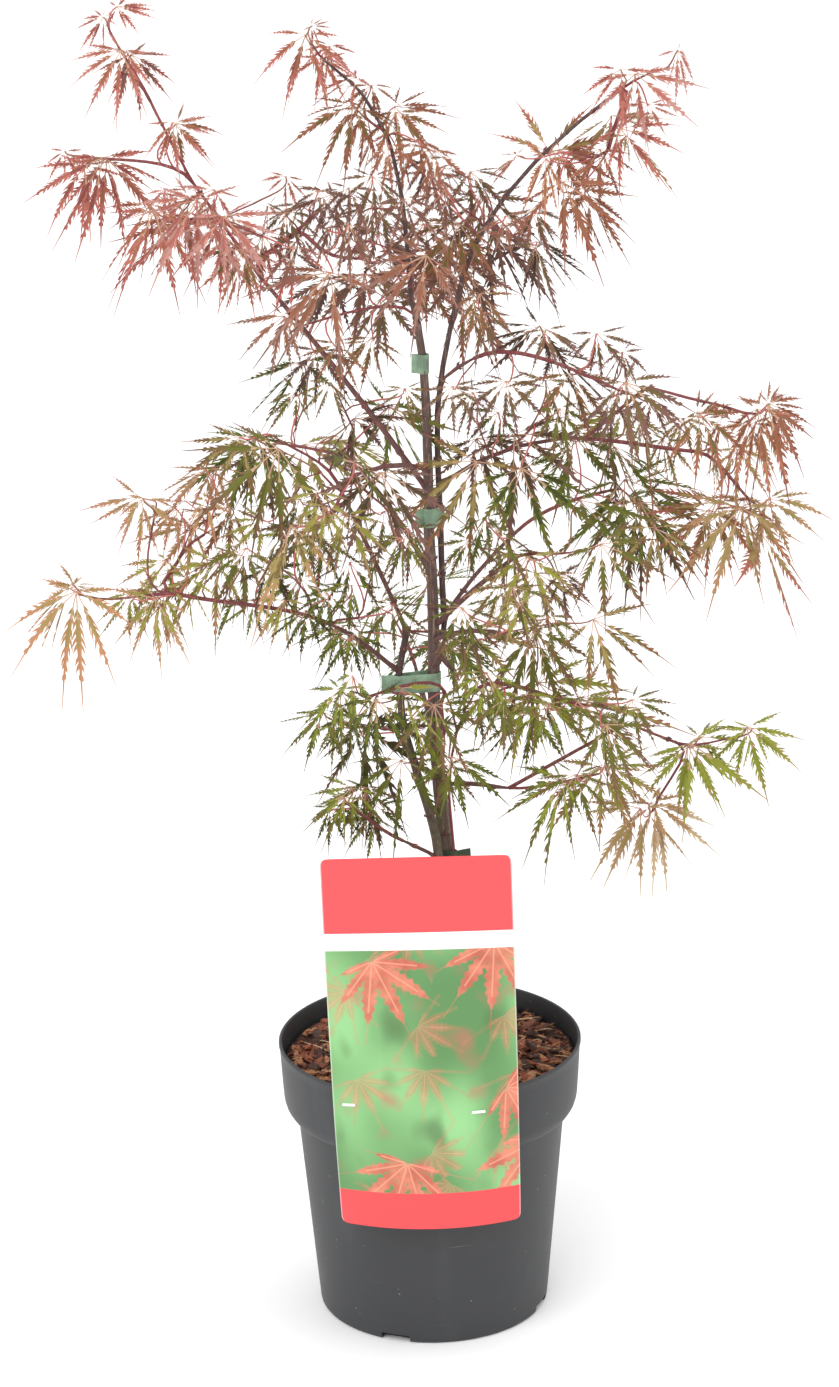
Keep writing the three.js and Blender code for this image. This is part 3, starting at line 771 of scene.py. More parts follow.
LEAF_TINTS = {
    "coral_pale": (180, 130, 120), "coral": (170, 99, 87), "coral_deep": (134, 74, 66),
    "rust_pale": (174, 126, 91), "rust": (144, 92, 67), "rust_deep": (109, 73, 57),
    "plum_pale": (154, 113, 98), "plum": (115, 82, 72), "plum_deep": (88, 63, 55),
    "olive_pale": (148, 129, 77), "olive": (107, 90, 50), "olive_deep": (77, 63, 38),
    "green_pale": (132, 136, 48), "green": (92, 98, 30), "green_deep": (62, 66, 22),
    "gold_pale": (182, 159, 126), "gold": (160, 131, 96), "stalk": (186, 148, 124),
}
# The tints that a spray may take, as (heart, blade, tips), by the foliage slot that it belongs to.
SPRAY_TINTS = {
    "foliage_coral": [("rust", "coral", "coral_pale"), ("coral_deep", "coral", "coral"),
                      ("coral", "coral_pale", "coral_pale"), ("rust", "coral", "coral_deep"),
                      ("olive", "rust", "coral"), ("plum", "coral_deep", "coral")],
    "foliage_rust": [("olive_pale", "rust_pale", "rust"), ("olive", "rust", "rust"),
                     ("rust", "rust_pale", "coral"), ("rust", "rust", "coral_deep"),
                     ("olive_pale", "gold", "rust_pale"), ("olive_pale", "rust", "coral"),
                     ("gold", "rust_pale", "coral_pale")],
    "foliage_plum": [("olive", "plum", "plum"), ("plum", "plum_deep", "plum_deep"),
                     ("rust_deep", "plum", "plum_pale"), ("olive_deep", "plum_deep", "plum"),
                     ("rust", "plum_pale", "plum"), ("olive", "rust", "rust_deep")],
    "foliage_olive": [("green", "olive", "rust_deep"), ("green_pale", "olive_pale", "plum"),
                      ("green", "green", "olive"), ("olive_pale", "olive", "rust"),
                      ("olive_deep", "plum", "plum"), ("green", "olive_deep", "rust_deep"),
                      ("olive", "olive_pale", "rust_pale"), ("green_deep", "green", "olive")],
    "foliage_green": [("green_pale", "green", "olive"), ("green", "olive", "rust_deep"),
                      ("green", "green", "green_deep"), ("green_pale", "olive_pale", "rust"),
                      ("green_deep", "olive_deep", "plum"), ("green", "green_deep", "olive_deep"),
                      ("green_pale", "green_pale", "olive_pale")],
    "foliage_gold": [("green_pale", "gold", "rust_pale"), ("olive_pale", "gold", "gold_pale"),
                     ("gold", "gold_pale", "gold_pale"), ("olive_pale", "rust_pale", "rust_pale")],
}
CARD_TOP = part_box("picture_card")[1].z
BEHIND_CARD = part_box("picture_card")[0].y + 28 * MM  # leaves below the card's top stay behind this
# The seeded leaves that a mass takes beside its set ones, as a share of what its size would hold.
# A mass that isn't named here takes none.
SEEDED_SHARES = {
    "mass_right_long_tip": 0.3, "mass_middle_high": 0.1, "mass_upper_middle": 0.28,
    "mass_right_middle": 0.15, "mass_right_long": 0.1, "mass_lower_left": 0.5, "mass_left_middle": 0.15,
    "mass_upper_left": 0.3, "mass_front_right": 0.15, "mass_arch_right": 0.45, "mass_centre_right": 0.6,
    "mass_right_top": 0.15, "mass_upper_right": 0.6, "mass_lower_right": 0.2, "mass_back_left": 0.45,
    "mass_back_low": 0.85, "mass_back_right": 0.8, "mass_back_upper": 0.6, "mass_front_left": 0.5,
}
# Masses whose seeded leaves are smaller, as a share of the usual size.
SMALLER_LEAVES = {"mass_right_long_tip": 0.95}
# Masses whose twig leaves its limb at another place than the nearest: (across, depth, up) in millimetres.
FED_BY = {"mass_left_tip": (-131, -35, 722)}
# Leaves with a place of their own, by mass, in millimetres:
# (the spray's place in SPRAY_TINTS, the hub's across, depth and up, the tip's across and up).
SET_LEAVES = {
    "mass_top_left": [(5, -164, -13, 801, -163, 771), (1, -169, -17, 828, -146, 822),
        (1, -176, -29, 824, -192, 809), (0, -166, -37, 806, -189, 774), (5, -163, -1, 798, -153, 764)],
    "mass_left_tip": [(1, -201, -33, 748, -201, 728), (1, -178, -49, 747, -188, 692),
        (3, -178, -17, 740, -167, 691), (0, -138, -41, 765, -134, 734), (4, -138, -13, 759, -115, 741),
        (1, -191, -25, 738, -198, 697)],
    "mass_upper_left": [(2, -144, -37, 725, -137, 703), (3, -103, -24, 676, -112, 648),
        (2, -86, -13, 710, -94, 680), (0, -75, -11, 727, -80, 705), (2, -115, -48, 727, -132, 700),
        (3, -89, -27, 696, -96, 657), (5, -70, -62, 696, -85, 660), (4, -99, -54, 693, -117, 653),
        (2, -130, -46, 722, -148, 689), (2, -109, -44, 698, -107, 662), (2, -124, -68, 725, -130, 667),
        (2, -109, -76, 717, -94, 674)],
    "mass_leader_tip": [(0, -61, -23, 811, -65, 770), (0, -53, -15, 796, -48, 767),
        (1, -58, -3, 813, -47, 805), (1, -48, 5, 800, -51, 774), (3, -33, -11, 784, -64, 768)],
    "mass_crown_top": [(3, -24, 2, 745, -32, 718), (1, -6, 18, 731, -8, 708), (3, -24, 3, 777, -22, 752),
        (1, -35, -11, 768, -65, 729), (3, -15, -38, 749, -21, 717), (3, 2, -4, 746, 5, 716),
        (3, 12, -19, 742, 1, 714), (3, -28, 6, 763, -25, 725), (3, -11, 10, 763, 23, 756),
        (1, -10, -3, 762, -4, 729)],
    "mass_upper_middle": [(2, -67, -22, 694, -74, 666), (2, -46, -62, 712, -54, 681),
        (0, -24, -38, 731, -24, 696), (2, -48, -22, 718, -75, 696), (2, -6, -70, 724, 1, 693),
        (0, -68, 3, 707, -90, 702), (1, -55, -66, 729, -52, 700), (0, -75, -31, 710, -73, 676),
        (2, -38, -44, 726, -41, 696), (2, -38, -76, 711, -35, 675), (0, -25, -12, 709, -38, 676)],
    "mass_upper_right": [(0, 72, 41, 695, 78, 667), (4, 53, -4, 700, 57, 672), (4, 70, 40, 692, 68, 663),
        (1, 8, 7, 732, 5, 700), (4, 10, -1, 726, 14, 693), (0, 33, 15, 723, 45, 691),
        (2, 18, 33, 722, 39, 708), (2, 18, -14, 718, 8, 686), (4, 41, 21, 711, 31, 683)],
    "mass_right_top_tip": [(2, 137, -2, 764, 139, 737), (2, 154, -2, 795, 166, 769),
        (1, 120, -18, 787, 114, 755), (2, 129, -10, 783, 141, 735), (1, 120, -14, 752, 148, 722)],
    "mass_right_top": [(3, 60, -1, 735, 40, 720), (3, 109, 3, 737, 104, 705), (3, 103, 12, 708, 122, 668),
        (3, 86, -23, 723, 109, 678), (5, 80, 17, 733, 93, 776), (2, 76, -29, 738, 58, 698),
        (3, 94, 0, 715, 107, 669), (3, 86, 27, 733, 117, 704)],
    "mass_arch_right_tip": [(3, 178, -41, 586, 181, 554), (2, 196, -22, 576, 201, 536),
        (3, 204, -43, 593, 212, 535), (2, 200, -26, 586, 189, 536), (3, 207, -22, 588, 234, 578),
        (1, 164, -31, 586, 179, 606), (1, 164, -55, 591, 187, 554)],
    "mass_right_long_tip": [(4, 192, 15, 551, 196, 514), (4, 210, 13, 520, 230, 481),
        (4, 192, -15, 523, 177, 467), (0, 196, 17, 520, 221, 465), (5, 180, 21, 517, 166, 460)],
    "mass_right_middle": [(6, 148, 34, 553, 154, 520), (6, 176, 5, 556, 183, 525),
        (3, 161, 43, 564, 158, 536), (3, 133, -30, 584, 138, 533), (3, 139, -31, 516, 145, 470)],
    "mass_left_middle_tip": [(6, -148, 16, 520, -160, 493), (6, -125, 38, 540, -132, 510),
        (6, -129, 13, 545, -151, 514), (0, -139, 20, 508, -160, 474), (6, -171, 30, 524, -201, 497),
        (0, -167, 9, 528, -172, 490), (6, -144, 41, 518, -166, 493), (0, -128, -19, 535, -139, 506),
        (1, -115, 26, 517, -138, 483)],
    "mass_left_low_tip": [(3, -206, -35, 484, -229, 426), (3, -212, -15, 480, -247, 443),
        (3, -208, -23, 484, -213, 504), (0, -159, -39, 480, -182, 439), (3, -158, -15, 473, -148, 434),
        (3, -160, -23, 479, -162, 504)],
    "mass_lower_right_tip": [(6, 199, -22, 386, 197, 355), (6, 196, -18, 385, 212, 342),
        (6, 161, -34, 381, 188, 331), (6, 161, -6, 370, 162, 327), (0, 168, -18, 379, 195, 360)],
    "mass_lower_right": [(1, 124, -57, 417, 143, 390), (6, 38, -30, 416, 36, 384),
        (5, 32, -57, 419, 32, 386), (5, 71, -3, 401, 58, 352), (0, 106, -32, 401, 126, 359),
        (0, 65, -31, 402, 67, 359), (0, 37, -89, 446, 29, 403), (6, 60, -40, 416, 57, 372),
        (1, 47, -88, 429, 43, 389), (0, 74, -63, 417, 81, 377), (1, 91, -69, 420, 140, 392),
        (3, 94, -28, 409, 119, 431), (3, 96, -12, 402, 157, 393), (1, 107, -94, 414, 128, 373)],
    "mass_low_right": [(1, 90, -73, 376, 87, 335), (0, 82, -66, 370, 56, 320),
        (3, 106, -40, 369, 103, 317), (3, 109, -46, 372, 147, 352)],
    "mass_low_right_tip": [(1, 130, -43, 343, 118, 290), (2, 140, -23, 338, 162, 296),
        (3, 137, -31, 342, 168, 338)],
    "mass_lower_left": [(5, -44, -27, 400, -50, 368), (0, -54, 1, 387, -61, 360),
        (1, 13, -18, 364, 22, 334), (0, -61, -20, 400, -74, 363), (0, -42, -60, 436, -50, 394),
        (6, -13, -82, 435, -3, 387), (0, -50, -40, 421, -62, 383), (5, -28, -78, 427, -24, 383),
        (1, 6, -84, 425, 14, 380), (2, 16, -62, 385, 27, 344)],
    "mass_left_middle": [(3, -8, -8, 598, -7, 569), (3, -52, -6, 602, -64, 572),
        (0, -73, 5, 594, -86, 565), (3, -106, -16, 572, -125, 535), (5, -92, -6, 560, -106, 521)],
    "mass_middle_high": [(5, -27, 6, 626, -34, 596), (1, -59, 1, 620, -58, 582),
        (4, -78, -25, 647, -93, 616), (5, -46, -47, 635, -50, 603)],
    "mass_back_low": [(0, -44, 85, 425, -43, 384)],
    "mass_front_left": [(5, -69, -110, 559, -75, 525), (1, -53, -149, 565, -58, 534),
        (0, -11, -128, 540, -10, 509), (5, -7, -98, 537, -13, 500), (1, -58, -140, 571, -62, 530),
        (1, -43, -123, 553, -48, 508), (0, -21, -89, 545, -9, 505), (5, -65, -124, 547, -79, 514),
        (1, -91, -99, 544, -115, 517)],
    "mass_front_right": [(0, 73, -109, 486, 75, 457), (0, 29, -101, 472, 15, 440),
        (1, 56, -137, 503, 48, 474), (0, 52, -127, 509, 57, 471), (5, 23, -102, 490, 16, 452)],
    "mass_right_long": [(0, 54, -43, 507, 56, 477), (0, 29, -26, 509, 20, 478), (0, 44, -73, 528, 40, 488),
        (4, 84, -33, 489, 100, 454), (2, 38, -42, 527, 29, 489), (0, 105, -75, 519, 134, 483),
        (1, 62, -74, 512, 59, 468), (6, 46, -63, 492, 36, 455), (3, 69, -39, 491, 75, 452)],
    "mass_centre_right": [(5, 47, -22, 586, 39, 556), (0, 83, -32, 590, 90, 557), (3, 76, 2, 599, 72, 562),
        (4, 32, -33, 601, 21, 571)],
    "mass_foot_left": [(0, -33, -13, 329, -54, 307), (5, -58, -37, 345, -45, 320),
        (5, -45, -29, 345, -40, 319), (1, -37, -21, 352, -41, 315), (0, -49, -61, 360, -58, 333),
        (5, -31, -29, 343, -20, 315), (0, -44, -45, 360, -63, 325)],
    "mass_left_low": [(0, -51, -14, 453, -58, 420), (5, -42, -48, 458, -44, 426),
        (3, -174, -35, 482, -180, 449), (0, -112, -7, 471, -126, 438), (3, -82, -34, 476, -92, 439),
        (5, -69, -49, 474, -73, 440), (0, -101, -21, 472, -110, 444), (0, -42, -19, 480, -50, 446),
        (5, -56, -51, 485, -64, 455), (6, -118, -42, 511, -124, 485), (5, -29, -23, 502, -36, 468),
        (0, -77, -45, 519, -89, 484), (1, -18, -13, 466, -22, 432), (5, -59, -10, 506, -63, 468),
        (1, -106, -28, 502, -111, 463), (0, -73, -13, 483, -77, 444), (4, -92, -21, 493, -80, 454),
        (1, -43, -14, 493, -47, 454), (3, -155, -28, 483, -164, 446), (6, -140, -27, 489, -153, 451),
        (3, -122, -24, 498, -146, 460), (1, -103, -56, 515, -137, 487), (3, -154, -7, 494, -182, 470)],
    "mass_arch_right": [(0, 106, -7, 629, 112, 596), (2, 120, -30, 623, 121, 594),
        (0, 39, -33, 649, 33, 619), (0, 52, -23, 605, 47, 569), (0, 20, -54, 610, 17, 579),
        (1, 114, -21, 594, 118, 558), (2, 138, -15, 591, 136, 559), (5, 37, -38, 661, 45, 629),
        (0, 75, -38, 639, 83, 612)],
}
# Where the crown stands open, seen from the front: (across, up) in millimetres.
OPEN_PLACES = [
    (141, 698), (-167, 483), (-166, 426), (-173, 407), (-181, 442), (144, 609), (-80, 638), (30, 739),
    (80, 423), (-176, 676), (-45, 545), (141, 710), (127, 436), (123, 408), (-82, 347), (-40, 341),
    (-128, 441), (-19, 632), (-18, 594), (-112, 426), (-98, 431), (87, 538), (65, 508), (-45, 540),
    (-77, 575), (-45, 539), (-41, 546), (102, 749), (103, 419), (52, 646), (-117, 423), (-84, 323),
    (-63, 289), (87, 532), (-17, 452), (-19, 426), (-31, 352), (96, 421), (93, 437), (84, 431),
    (-114, 435), (-121, 422), (237, 560), (132, 714), (106, 759), (-81, 645), (-52, 635), (117, 641),
    (132, 623), (94, 671), (104, 634), (110, 650), (-131, 579), (-156, 553), (-137, 567), (-48, 544),
    (75, 516), (-86, 366), (-27, 342), (-77, 337), (-136, 432), (-128, 737), (-107, 719), (-183, 676),
    (223, 510), (-85, 595), (-109, 594), (-96, 630), (-114, 621), (18, 748), (10, 757), (-99, 717),
    (43, 654), (-18, 618), (-51, 539), (77, 512), (108, 427), (123, 436), (-105, 428), (-75, 415),
    (-82, 382), (-45, 341), (-85, 284), (238, 485), (231, 590), (89, 301), (-114, 548), (-116, 573),
    (-153, 783), (-146, 794), (-13, 458), (132, 487), (169, 455), (76, 600), (169, 423),
]


class Crown:
    """Grows twigs, stalks and leaves from the limbs into every mass of foliage."""

    LEAF = 58 * MM
    LEAF_SIZES = [0.55, 0.78], [1.08, 0.80]  # heights, and the share of LEAF that leaves take there
    LEAVES_PER_BULK = 0.215  # leaves in a mass for each square of a centimetre in its size
    LIFT = 11 * MM  # how far a leaf's hub may stand above its mass, from which the lobes hang
    SLACK = 7 * MM  # how far a leaf's middle may lie outside its mass
    MARGIN = 6 * MM  # how far a leaf's hub and tip stay inside the plant's measured outline
    BODY = 0.42  # where along a leaf its middle lies, as a share of its length
    TRIES, OFFERS = 200, 20  # places drawn for a leaf, and how many that fit are compared
    STALK_REACH = 36 * MM  # a side twig is grown to a leaf that is further than this from wood
    TWIG_SHORTFALL = 24 * MM  # how far short of the leaf that twig ends
    TWIG_STEP = 7 * MM  # between the points of a twig
    LIMB_END_PULL = 30 * MM  # how much further off a limb's end may be, and still feed a mass

    def __init__(self, slots):
        self.slots = slots
        self.piles = {slot: Pile() for slot in SPRAY_TINTS}
        self.twigs = Pile()
        self.stalks = Pile()
        self.maker = LeafMaker(SEEDS["leaf_shapes"])
        self.rng = None
        self.twig_paths = []
        self.least = np.array(cad_box[0]) + self.MARGIN
        self.most = np.array(cad_box[1]) - self.MARGIN
        # Every leaf's middle so far, as (across, up) from the front, and the places left open.
        self.seen = [MM * np.array(place) for place in OPEN_PLACES]
        for rows in SET_LEAVES.values():
            self.seen += [MM * np.array([(1 - self.BODY) * x + self.BODY * tip_x,
                                         (1 - self.BODY) * z + self.BODY * tip_z])
                          for _, x, _, z, tip_x, tip_z in rows]

    def palette(self, slot):
        """The tints that one slot's sprays use, in a fixed order."""
        return ["stalk"] + sorted({name for tints in SPRAY_TINTS[slot] for name in tints})

    def set_leaves(self, node):
        """The leaves with a place of their own: (hub, direction, length, middle, tints)."""
        made = []
        for spray, x, y, z, tip_x, tip_z in SET_LEAVES.get(node, ()):
            hub = MM * np.array([x, y, z])
            reach = MM * np.array([tip_x - x, 0, tip_z - z])
            reach[1] = self.rng.uniform(-0.4, 0.4) * np.linalg.norm(reach)
            tints = SPRAY_TINTS[self.slots[node]][spray]
            made.append((hub, unit(reach), np.linalg.norm(reach), hub + self.BODY * reach, tints))
        return made

    def place_leaves(self, node):
        """One mass's leaves: those with set places, and seeded ones spread evenly through the rest."""
        mesh = frame["nodes"][node].data
        points = node_points(node)
        faces = [polygon.vertices[:] for polygon in mesh.polygons]
        solid = BVHTree.FromPolygons([Vector(point) for point in points], faces)
        low, high = points.min(axis=0), points.max(axis=0)
        middle = (low + high) / 2
        outward = unit(np.array([middle[0] - 0.005, middle[1], 0]))
        volume = sum(np.dot(points[f[0]], np.cross(points[f[1]], points[f[2]])) for f in faces) / 6
        scale = SMALLER_LEAVES.get(node, 1) * np.interp(middle[2], *self.LEAF_SIZES)
        share = SEEDED_SHARES.get(node, 0)
        count = round(share * self.LEAVES_PER_BULK * (abs(volume) * 1e6) ** (2 / 3) / scale ** 2)

        def inside(place, slack=0):
            hit, normal, _, _ = solid.find_nearest(Vector(place))
            return (Vector(place) - hit).dot(normal) < slack

        def fits(place):
            before_card = place[2] < CARD_TOP + 10 * MM and place[1] < BEHIND_CARD
            return np.all(place > self.least) and np.all(place < self.most) and not before_card

        chosen = self.set_leaves(node)
        for _ in range(count):
            offers = []
            for _ in range(self.TRIES):
                hub = self.rng.uniform(low, high) - self.LIFT * DOWN
                length = scale * self.LEAF * self.rng.uniform(0.82, 1.15)
                off = (hub - middle) * LEVEL
                spread = min(1, np.linalg.norm(off) / max(np.linalg.norm((high - low)[:2]) / 2, 1e-6))
                aim = unit(unit(off) * 1.4 * spread + 0.5 * outward + self.rng.normal(0, 0.45, 3) * LEVEL)
                droop = math.radians(self.rng.uniform(30, 74) - 12 * spread)
                forward = unit(aim * LEVEL) * math.cos(droop) + DOWN * math.sin(droop)
                body = hub + self.BODY * length * forward
                tip = hub + length * forward
                if fits(hub) and fits(tip) and inside(hub + self.LIFT * DOWN) and inside(body, self.SLACK):
                    gaps = [np.linalg.norm((body - other[3]) * (1, 0.6, 1)) for other in chosen]
                    apart = np.linalg.norm(np.array(self.seen) - body[[0, 2]], axis=1).min()
                    room = min(min(gaps, default=1), 1.7 * apart)
                    offers.append((room, hub, forward, length, body, None))
                if len(offers) >= self.OFFERS:
                    break
            if offers:
                best = max(offers, key=lambda offer: offer[0])
                chosen.append(best[1:])
                self.seen.append(best[4][[0, 2]])
        return chosen, middle, outward

    def grow_mass(self, node):
        """One mass's twigs and leaves, with draws of its own, so that no mass disturbs another."""
        place = sorted(self.slots).index(node)
        self.rng = np.random.default_rng([SEEDS["leaf_places"], place])
        self.maker.rng = np.random.default_rng([SEEDS["leaf_shapes"], place])
        leaves, middle, outward = self.place_leaves(node)
        if not leaves:
            return
        slot = self.slots[node]
        hubs = np.array([leaf[0] for leaf in leaves])
        start = wood.nearest(MM * np.array(FED_BY[node]))[0] if node in FED_BY else self.feeder(middle)
        inner = self.leading_twig(start, hubs, outward)
        reach = [np.linalg.norm(hub - wood.places[start]) for hub in hubs]
        spray = None
        for count, index in enumerate(np.argsort(reach)):
            hub, forward, length, _, given = leaves[index]
            spot = self.carry_near(hub, inner, outward)
            if count % 2 == 0:
                spray = SPRAY_TINTS[slot][self.rng.integers(len(SPRAY_TINTS[slot]))]
            self.add_leaf(slot, spot, hub, forward, length, given or spray)

    def feeder(self, middle):
        """The point of wood that a mass grows from: a limb's end if one is near."""
        best, gap = wood.nearest(middle)
        for tip in wood.tips:
            distance = np.linalg.norm(wood.places[tip] - middle) - self.LIMB_END_PULL
            if distance < gap:
                best, gap = tip, distance
        return best

    def leading_twig(self, start, hubs, outward):
        """A twig from the feeder through the hubs' middle to near the outermost of them."""
        root = wood.places[start]
        far = hubs[np.argmax((hubs - root) @ outward)]
        end = 0.65 * far + 0.35 * hubs.mean(axis=0) + 4 * MM * DOWN
        span = np.linalg.norm(end - root)
        if span < 12 * MM:
            return [start]
        lead = root + wood.heading(start) * span * 0.3
        trail = end - unit(end - root) * span * 0.3 + self.rng.normal(0, 0.04, 3) * span
        path = bezier(root, lead, trail, end, max(4, int(span / self.TWIG_STEP)))
        made = wood.extend(start, path[1:])
        self.twig_paths.append([start, *made])
        return [start, *made]

    def carry_near(self, hub, inner, outward):
        """The point that a leaf's stalk leaves from, growing a side twig where none is near."""
        behind = [i for i in inner if (hub - wood.places[i]) @ outward > -8 * MM] or inner
        index, gap = wood.nearest(hub + 5 * MM * DOWN, behind)
        if gap < self.STALK_REACH:
            return index
        root = wood.places[index]
        span = gap - self.TWIG_SHORTFALL
        end = root + unit(hub - root) * span + self.rng.normal(0, 2 * MM, 3)
        lead = root + unit(wood.heading(index) + unit(hub - root)) * span * 0.4
        path = bezier(root, lead, 0.7 * end + 0.3 * root, end, max(4, int(span / self.TWIG_STEP)))
        made = wood.extend(index, path[1:])
        self.twig_paths.append([index, *made])
        inner += made
        return made[-1]

    def add_leaf(self, slot, spot, hub, forward, length, spray):
        """One leaf and its stalk, which springs from a point of wood and bends over to the hub."""
        root = wood.places[spot]
        wood.bear(spot)
        span = np.linalg.norm(hub - root)
        lead = root + unit(wood.heading(spot) + 0.8 * unit(hub - root)) * span * 0.4
        trail = hub - unit(forward * LEVEL - 0.5 * DOWN) * span * 0.35
        path = bezier(root, lead, trail, hub, 7)
        radii = np.linspace(0.62, 0.4, 7) * MM
        points, faces = rod(path, radii, 4)
        self.stalks.add(points, faces, int(self.rng.random() < 0.4))
        front = -1 if hub[1] < 12 * MM + self.rng.normal(0, 14 * MM) else 1
        facing = np.array([0, 0.8 * front, 0]) - 0.6 * DOWN + self.rng.normal(0, 0.4, 3)
        palette = self.palette(slot)
        tints = [palette.index(name) for name in ("stalk", *spray)]
        sag = self.rng.uniform(0.03, 0.26)
        self.maker.draw(self.piles[slot], hub, forward, facing, length, tints, sag)

    def draw_twigs(self):
        """Every twig as a rod, thicker the more leaves it bears."""
        for chain in self.twig_paths:
            path = np.array([wood.places[index] for index in chain])
            loads = np.array([max(wood.load[index], 0.6) for index in chain[1:]])
            loads = np.concatenate([loads[:1], loads])
            radii = np.maximum.accumulate((0.5 * MM * loads ** 0.42)[::-1])[::-1]
            points, faces = rod(path, np.minimum(radii, 1.3 * MM), 6)
            self.twigs.add(points, faces)

    def grow(self):
        """Masses are taken in order of nearness to the wood, so that each grows on from the last."""
        waiting = {node: (node_points(node).min(axis=0) + node_points(node).max(axis=0)) / 2
                   for node in sorted(self.slots)}
        while waiting:
            node = min(waiting, key=lambda name: wood.nearest(waiting[name])[1])
            del waiting[node]
            self.grow_mass(node)
        self.draw_twigs()


def add_buds(pile, wood_paths, seed):
    """Pairs of small pointed buds with a ring scar, every few centimetres along the limbs."""
    rng = np.random.default_rng(seed)
    for path, radii in wood_paths:
        lengths = np.concatenate([[0], np.cumsum(np.linalg.norm(np.diff(path, axis=0), axis=1))])
        spot = rng.uniform(14, 26) * MM
        turn = rng.uniform(0, math.pi)
        while spot < lengths[-1] - 8 * MM:
            row = int(np.searchsorted(lengths, spot))
            ahead = unit(path[min(row + 1, len(path) - 1)] - path[row - 1])
            place = path[row]
            radius = radii[row]
            one = unit(np.cross(ahead, np.array([0.3, 1, 0.2])))
            two = np.cross(ahead, one)
            turn += math.pi / 2
            for side in (0, math.pi):
                out = math.cos(turn + side) * one + math.sin(turn + side) * two
                size = rng.uniform(0.8, 1.25)
                bud = np.array([place + out * radius * 0.5,
                                place + out * (radius + 0.7 * size * MM) + ahead * 0.7 * size * MM,
                                place + out * (radius + 1.0 * size * MM) + ahead * 2.6 * size * MM])
                pile.add(*rod(bud, np.array([1.0, 0.8, 0.1]) * size * MM, 6), int(rng.random() < 0.5))
            scar = np.array([place - ahead * 0.5 * MM, place, place + ahead * 0.5 * MM])
            pile.add(*rod(scar, (radius + 0.35 * MM) * np.array([0.94, 1.06, 0.94]), 10), 0)
            spot += rng.uniform(24, 46) * MM


# ---- pot, mulch, card and ties ----

# In millimetres, but for the values that are multiplied by MM here.
RIM_HEIGHT = 178
CARD_WIDTH, CARD_HEIGHT, CARD_BOTTOM = 114, 243, 91
CARD_THICKNESS = 0.7
CARD_FRONT, CARD_LEAN, CARD_SWING = 97, 1.2, -2  # how far in front of the pot's axis; degrees
CARD_FOOT_RADIUS, CARD_EASING, CARD_FLATTEST = 122, 1.5, 1e5  # its bend eases upwards to flat
POT_PROFILE = [
    (70.0, 0), (71.6, 0.5), (72.4, 1.6), (72.7, 3.2), (75.2, 31), (78.4, 67), (81.8, 104), (84.0, 129.2),
    (84.3, 130.8), (85.4, 131.4), (87.6, 132.2), (89.6, 134.0), (91.2, 136.6), (92.2, 139.8), (92.6, 142.8),
    (93.4, 155), (94.2, 170), (94.4, 174.8), (94.7, 175.2), (95.0, 175.8), (95.0, 177.2), (94.6, 177.8),
    (93.9, 178.0), (93.2, 177.7), (92.8, 176.8), (92.5, 170), (91.7, 155), (90.9, 143), (90.4, 140.2),
    (89.3, 137.2), (87.8, 134.8), (85.4, 133.4), (82.8, 132.4), (82.4, 130), (80.2, 104), (76.8, 67),
    (73.6, 31), (71.0, 4.2), (69.0, 1.8)]
DRAIN_ANGLES = (-110, -20, 70, 160)
DRAIN_SIZE, DRAIN_RADIUS = (16, 19, 10), 73.5
SOIL_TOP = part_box("soil")[1].z
WALL_RADIUS = 91.5 * MM  # chips stay inside this
TRUNK_ACROSS, TRUNK_ROOM = 9 * MM, 9 * MM  # the trunk's foot, and how far off it they stay
TAPE_WIDTH, TAPE_THICKNESS = 11.6 * MM, 0.7 * MM


def turned(profile, sides):
    """A round piece pulled up ring by ring from a disc, through rows of (radius, height) in mm."""
    start_fresh()
    radius, height = profile[0]
    bpy.ops.mesh.primitive_circle_add(vertices=sides, radius=radius * MM, fill_type="NGON")
    piece = bpy.context.object
    bpy.ops.object.mode_set(mode="EDIT")
    bpy.ops.transform.translate(value=(0, 0, height * MM))
    for wider, higher in profile[1:]:
        bpy.ops.mesh.extrude_region_move(TRANSFORM_OT_translate={"value": (0, 0, (higher - height) * MM)})
        share = wider / radius
        bpy.ops.transform.resize(value=(share, share, 1), center_override=(0, 0, higher * MM))
        radius, height = wider, higher
    bpy.ops.mesh.select_all(action="SELECT")
    bpy.ops.mesh.normals_make_consistent(inside=False)
    bpy.ops.object.mode_set(mode="OBJECT")
    return piece


def build_pot(finish):
    """The stepped pot with four drain slots in the edge of its base."""
    pot = turned(POT_PROFILE, 128)
    for order, degrees in enumerate(DRAIN_ANGLES):
        start_fresh()
        bpy.ops.mesh.primitive_cube_add(size=1)
        slot = bpy.context.object
        bpy.ops.object.mode_set(mode="EDIT")
        bpy.ops.transform.resize(value=[side * MM for side in DRAIN_SIZE], center_override=(0, 0, 0))
        bpy.ops.mesh.bevel(offset=1.2 * MM, segments=3)
        bpy.ops.object.mode_set(mode="OBJECT")
        angle = math.radians(degrees)
        slot.data.transform(Matrix.Rotation(angle, 4, "Z") @ Matrix.Translation((DRAIN_RADIUS * MM, 0, 0)))
        notch = pot.modifiers.new("drain_slot_%d" % order, "BOOLEAN")
        notch.operation = "DIFFERENCE"
        notch.solver = "EXACT"
        notch.object = slot
        apply_modifiers(pot)
        bpy.data.objects.remove(slot)
    finish_piece(pot, "nursery_pot", [finish], ["pot"])
    smooth_by_angle(pot, 38)


def soil_height(x, y):
    """The mulch's uneven surface, in metres above the ground."""
    reach = math.hypot(x, y) / (90 * MM)
    wave = math.sin(61 * x + 1.3) * math.cos(53 * y - 0.4) + 0.6 * math.sin(117 * y + 90 * x)
    return SOIL_TOP - (1.5 + 2.2 * reach ** 2 + 0.9 * wave) * MM


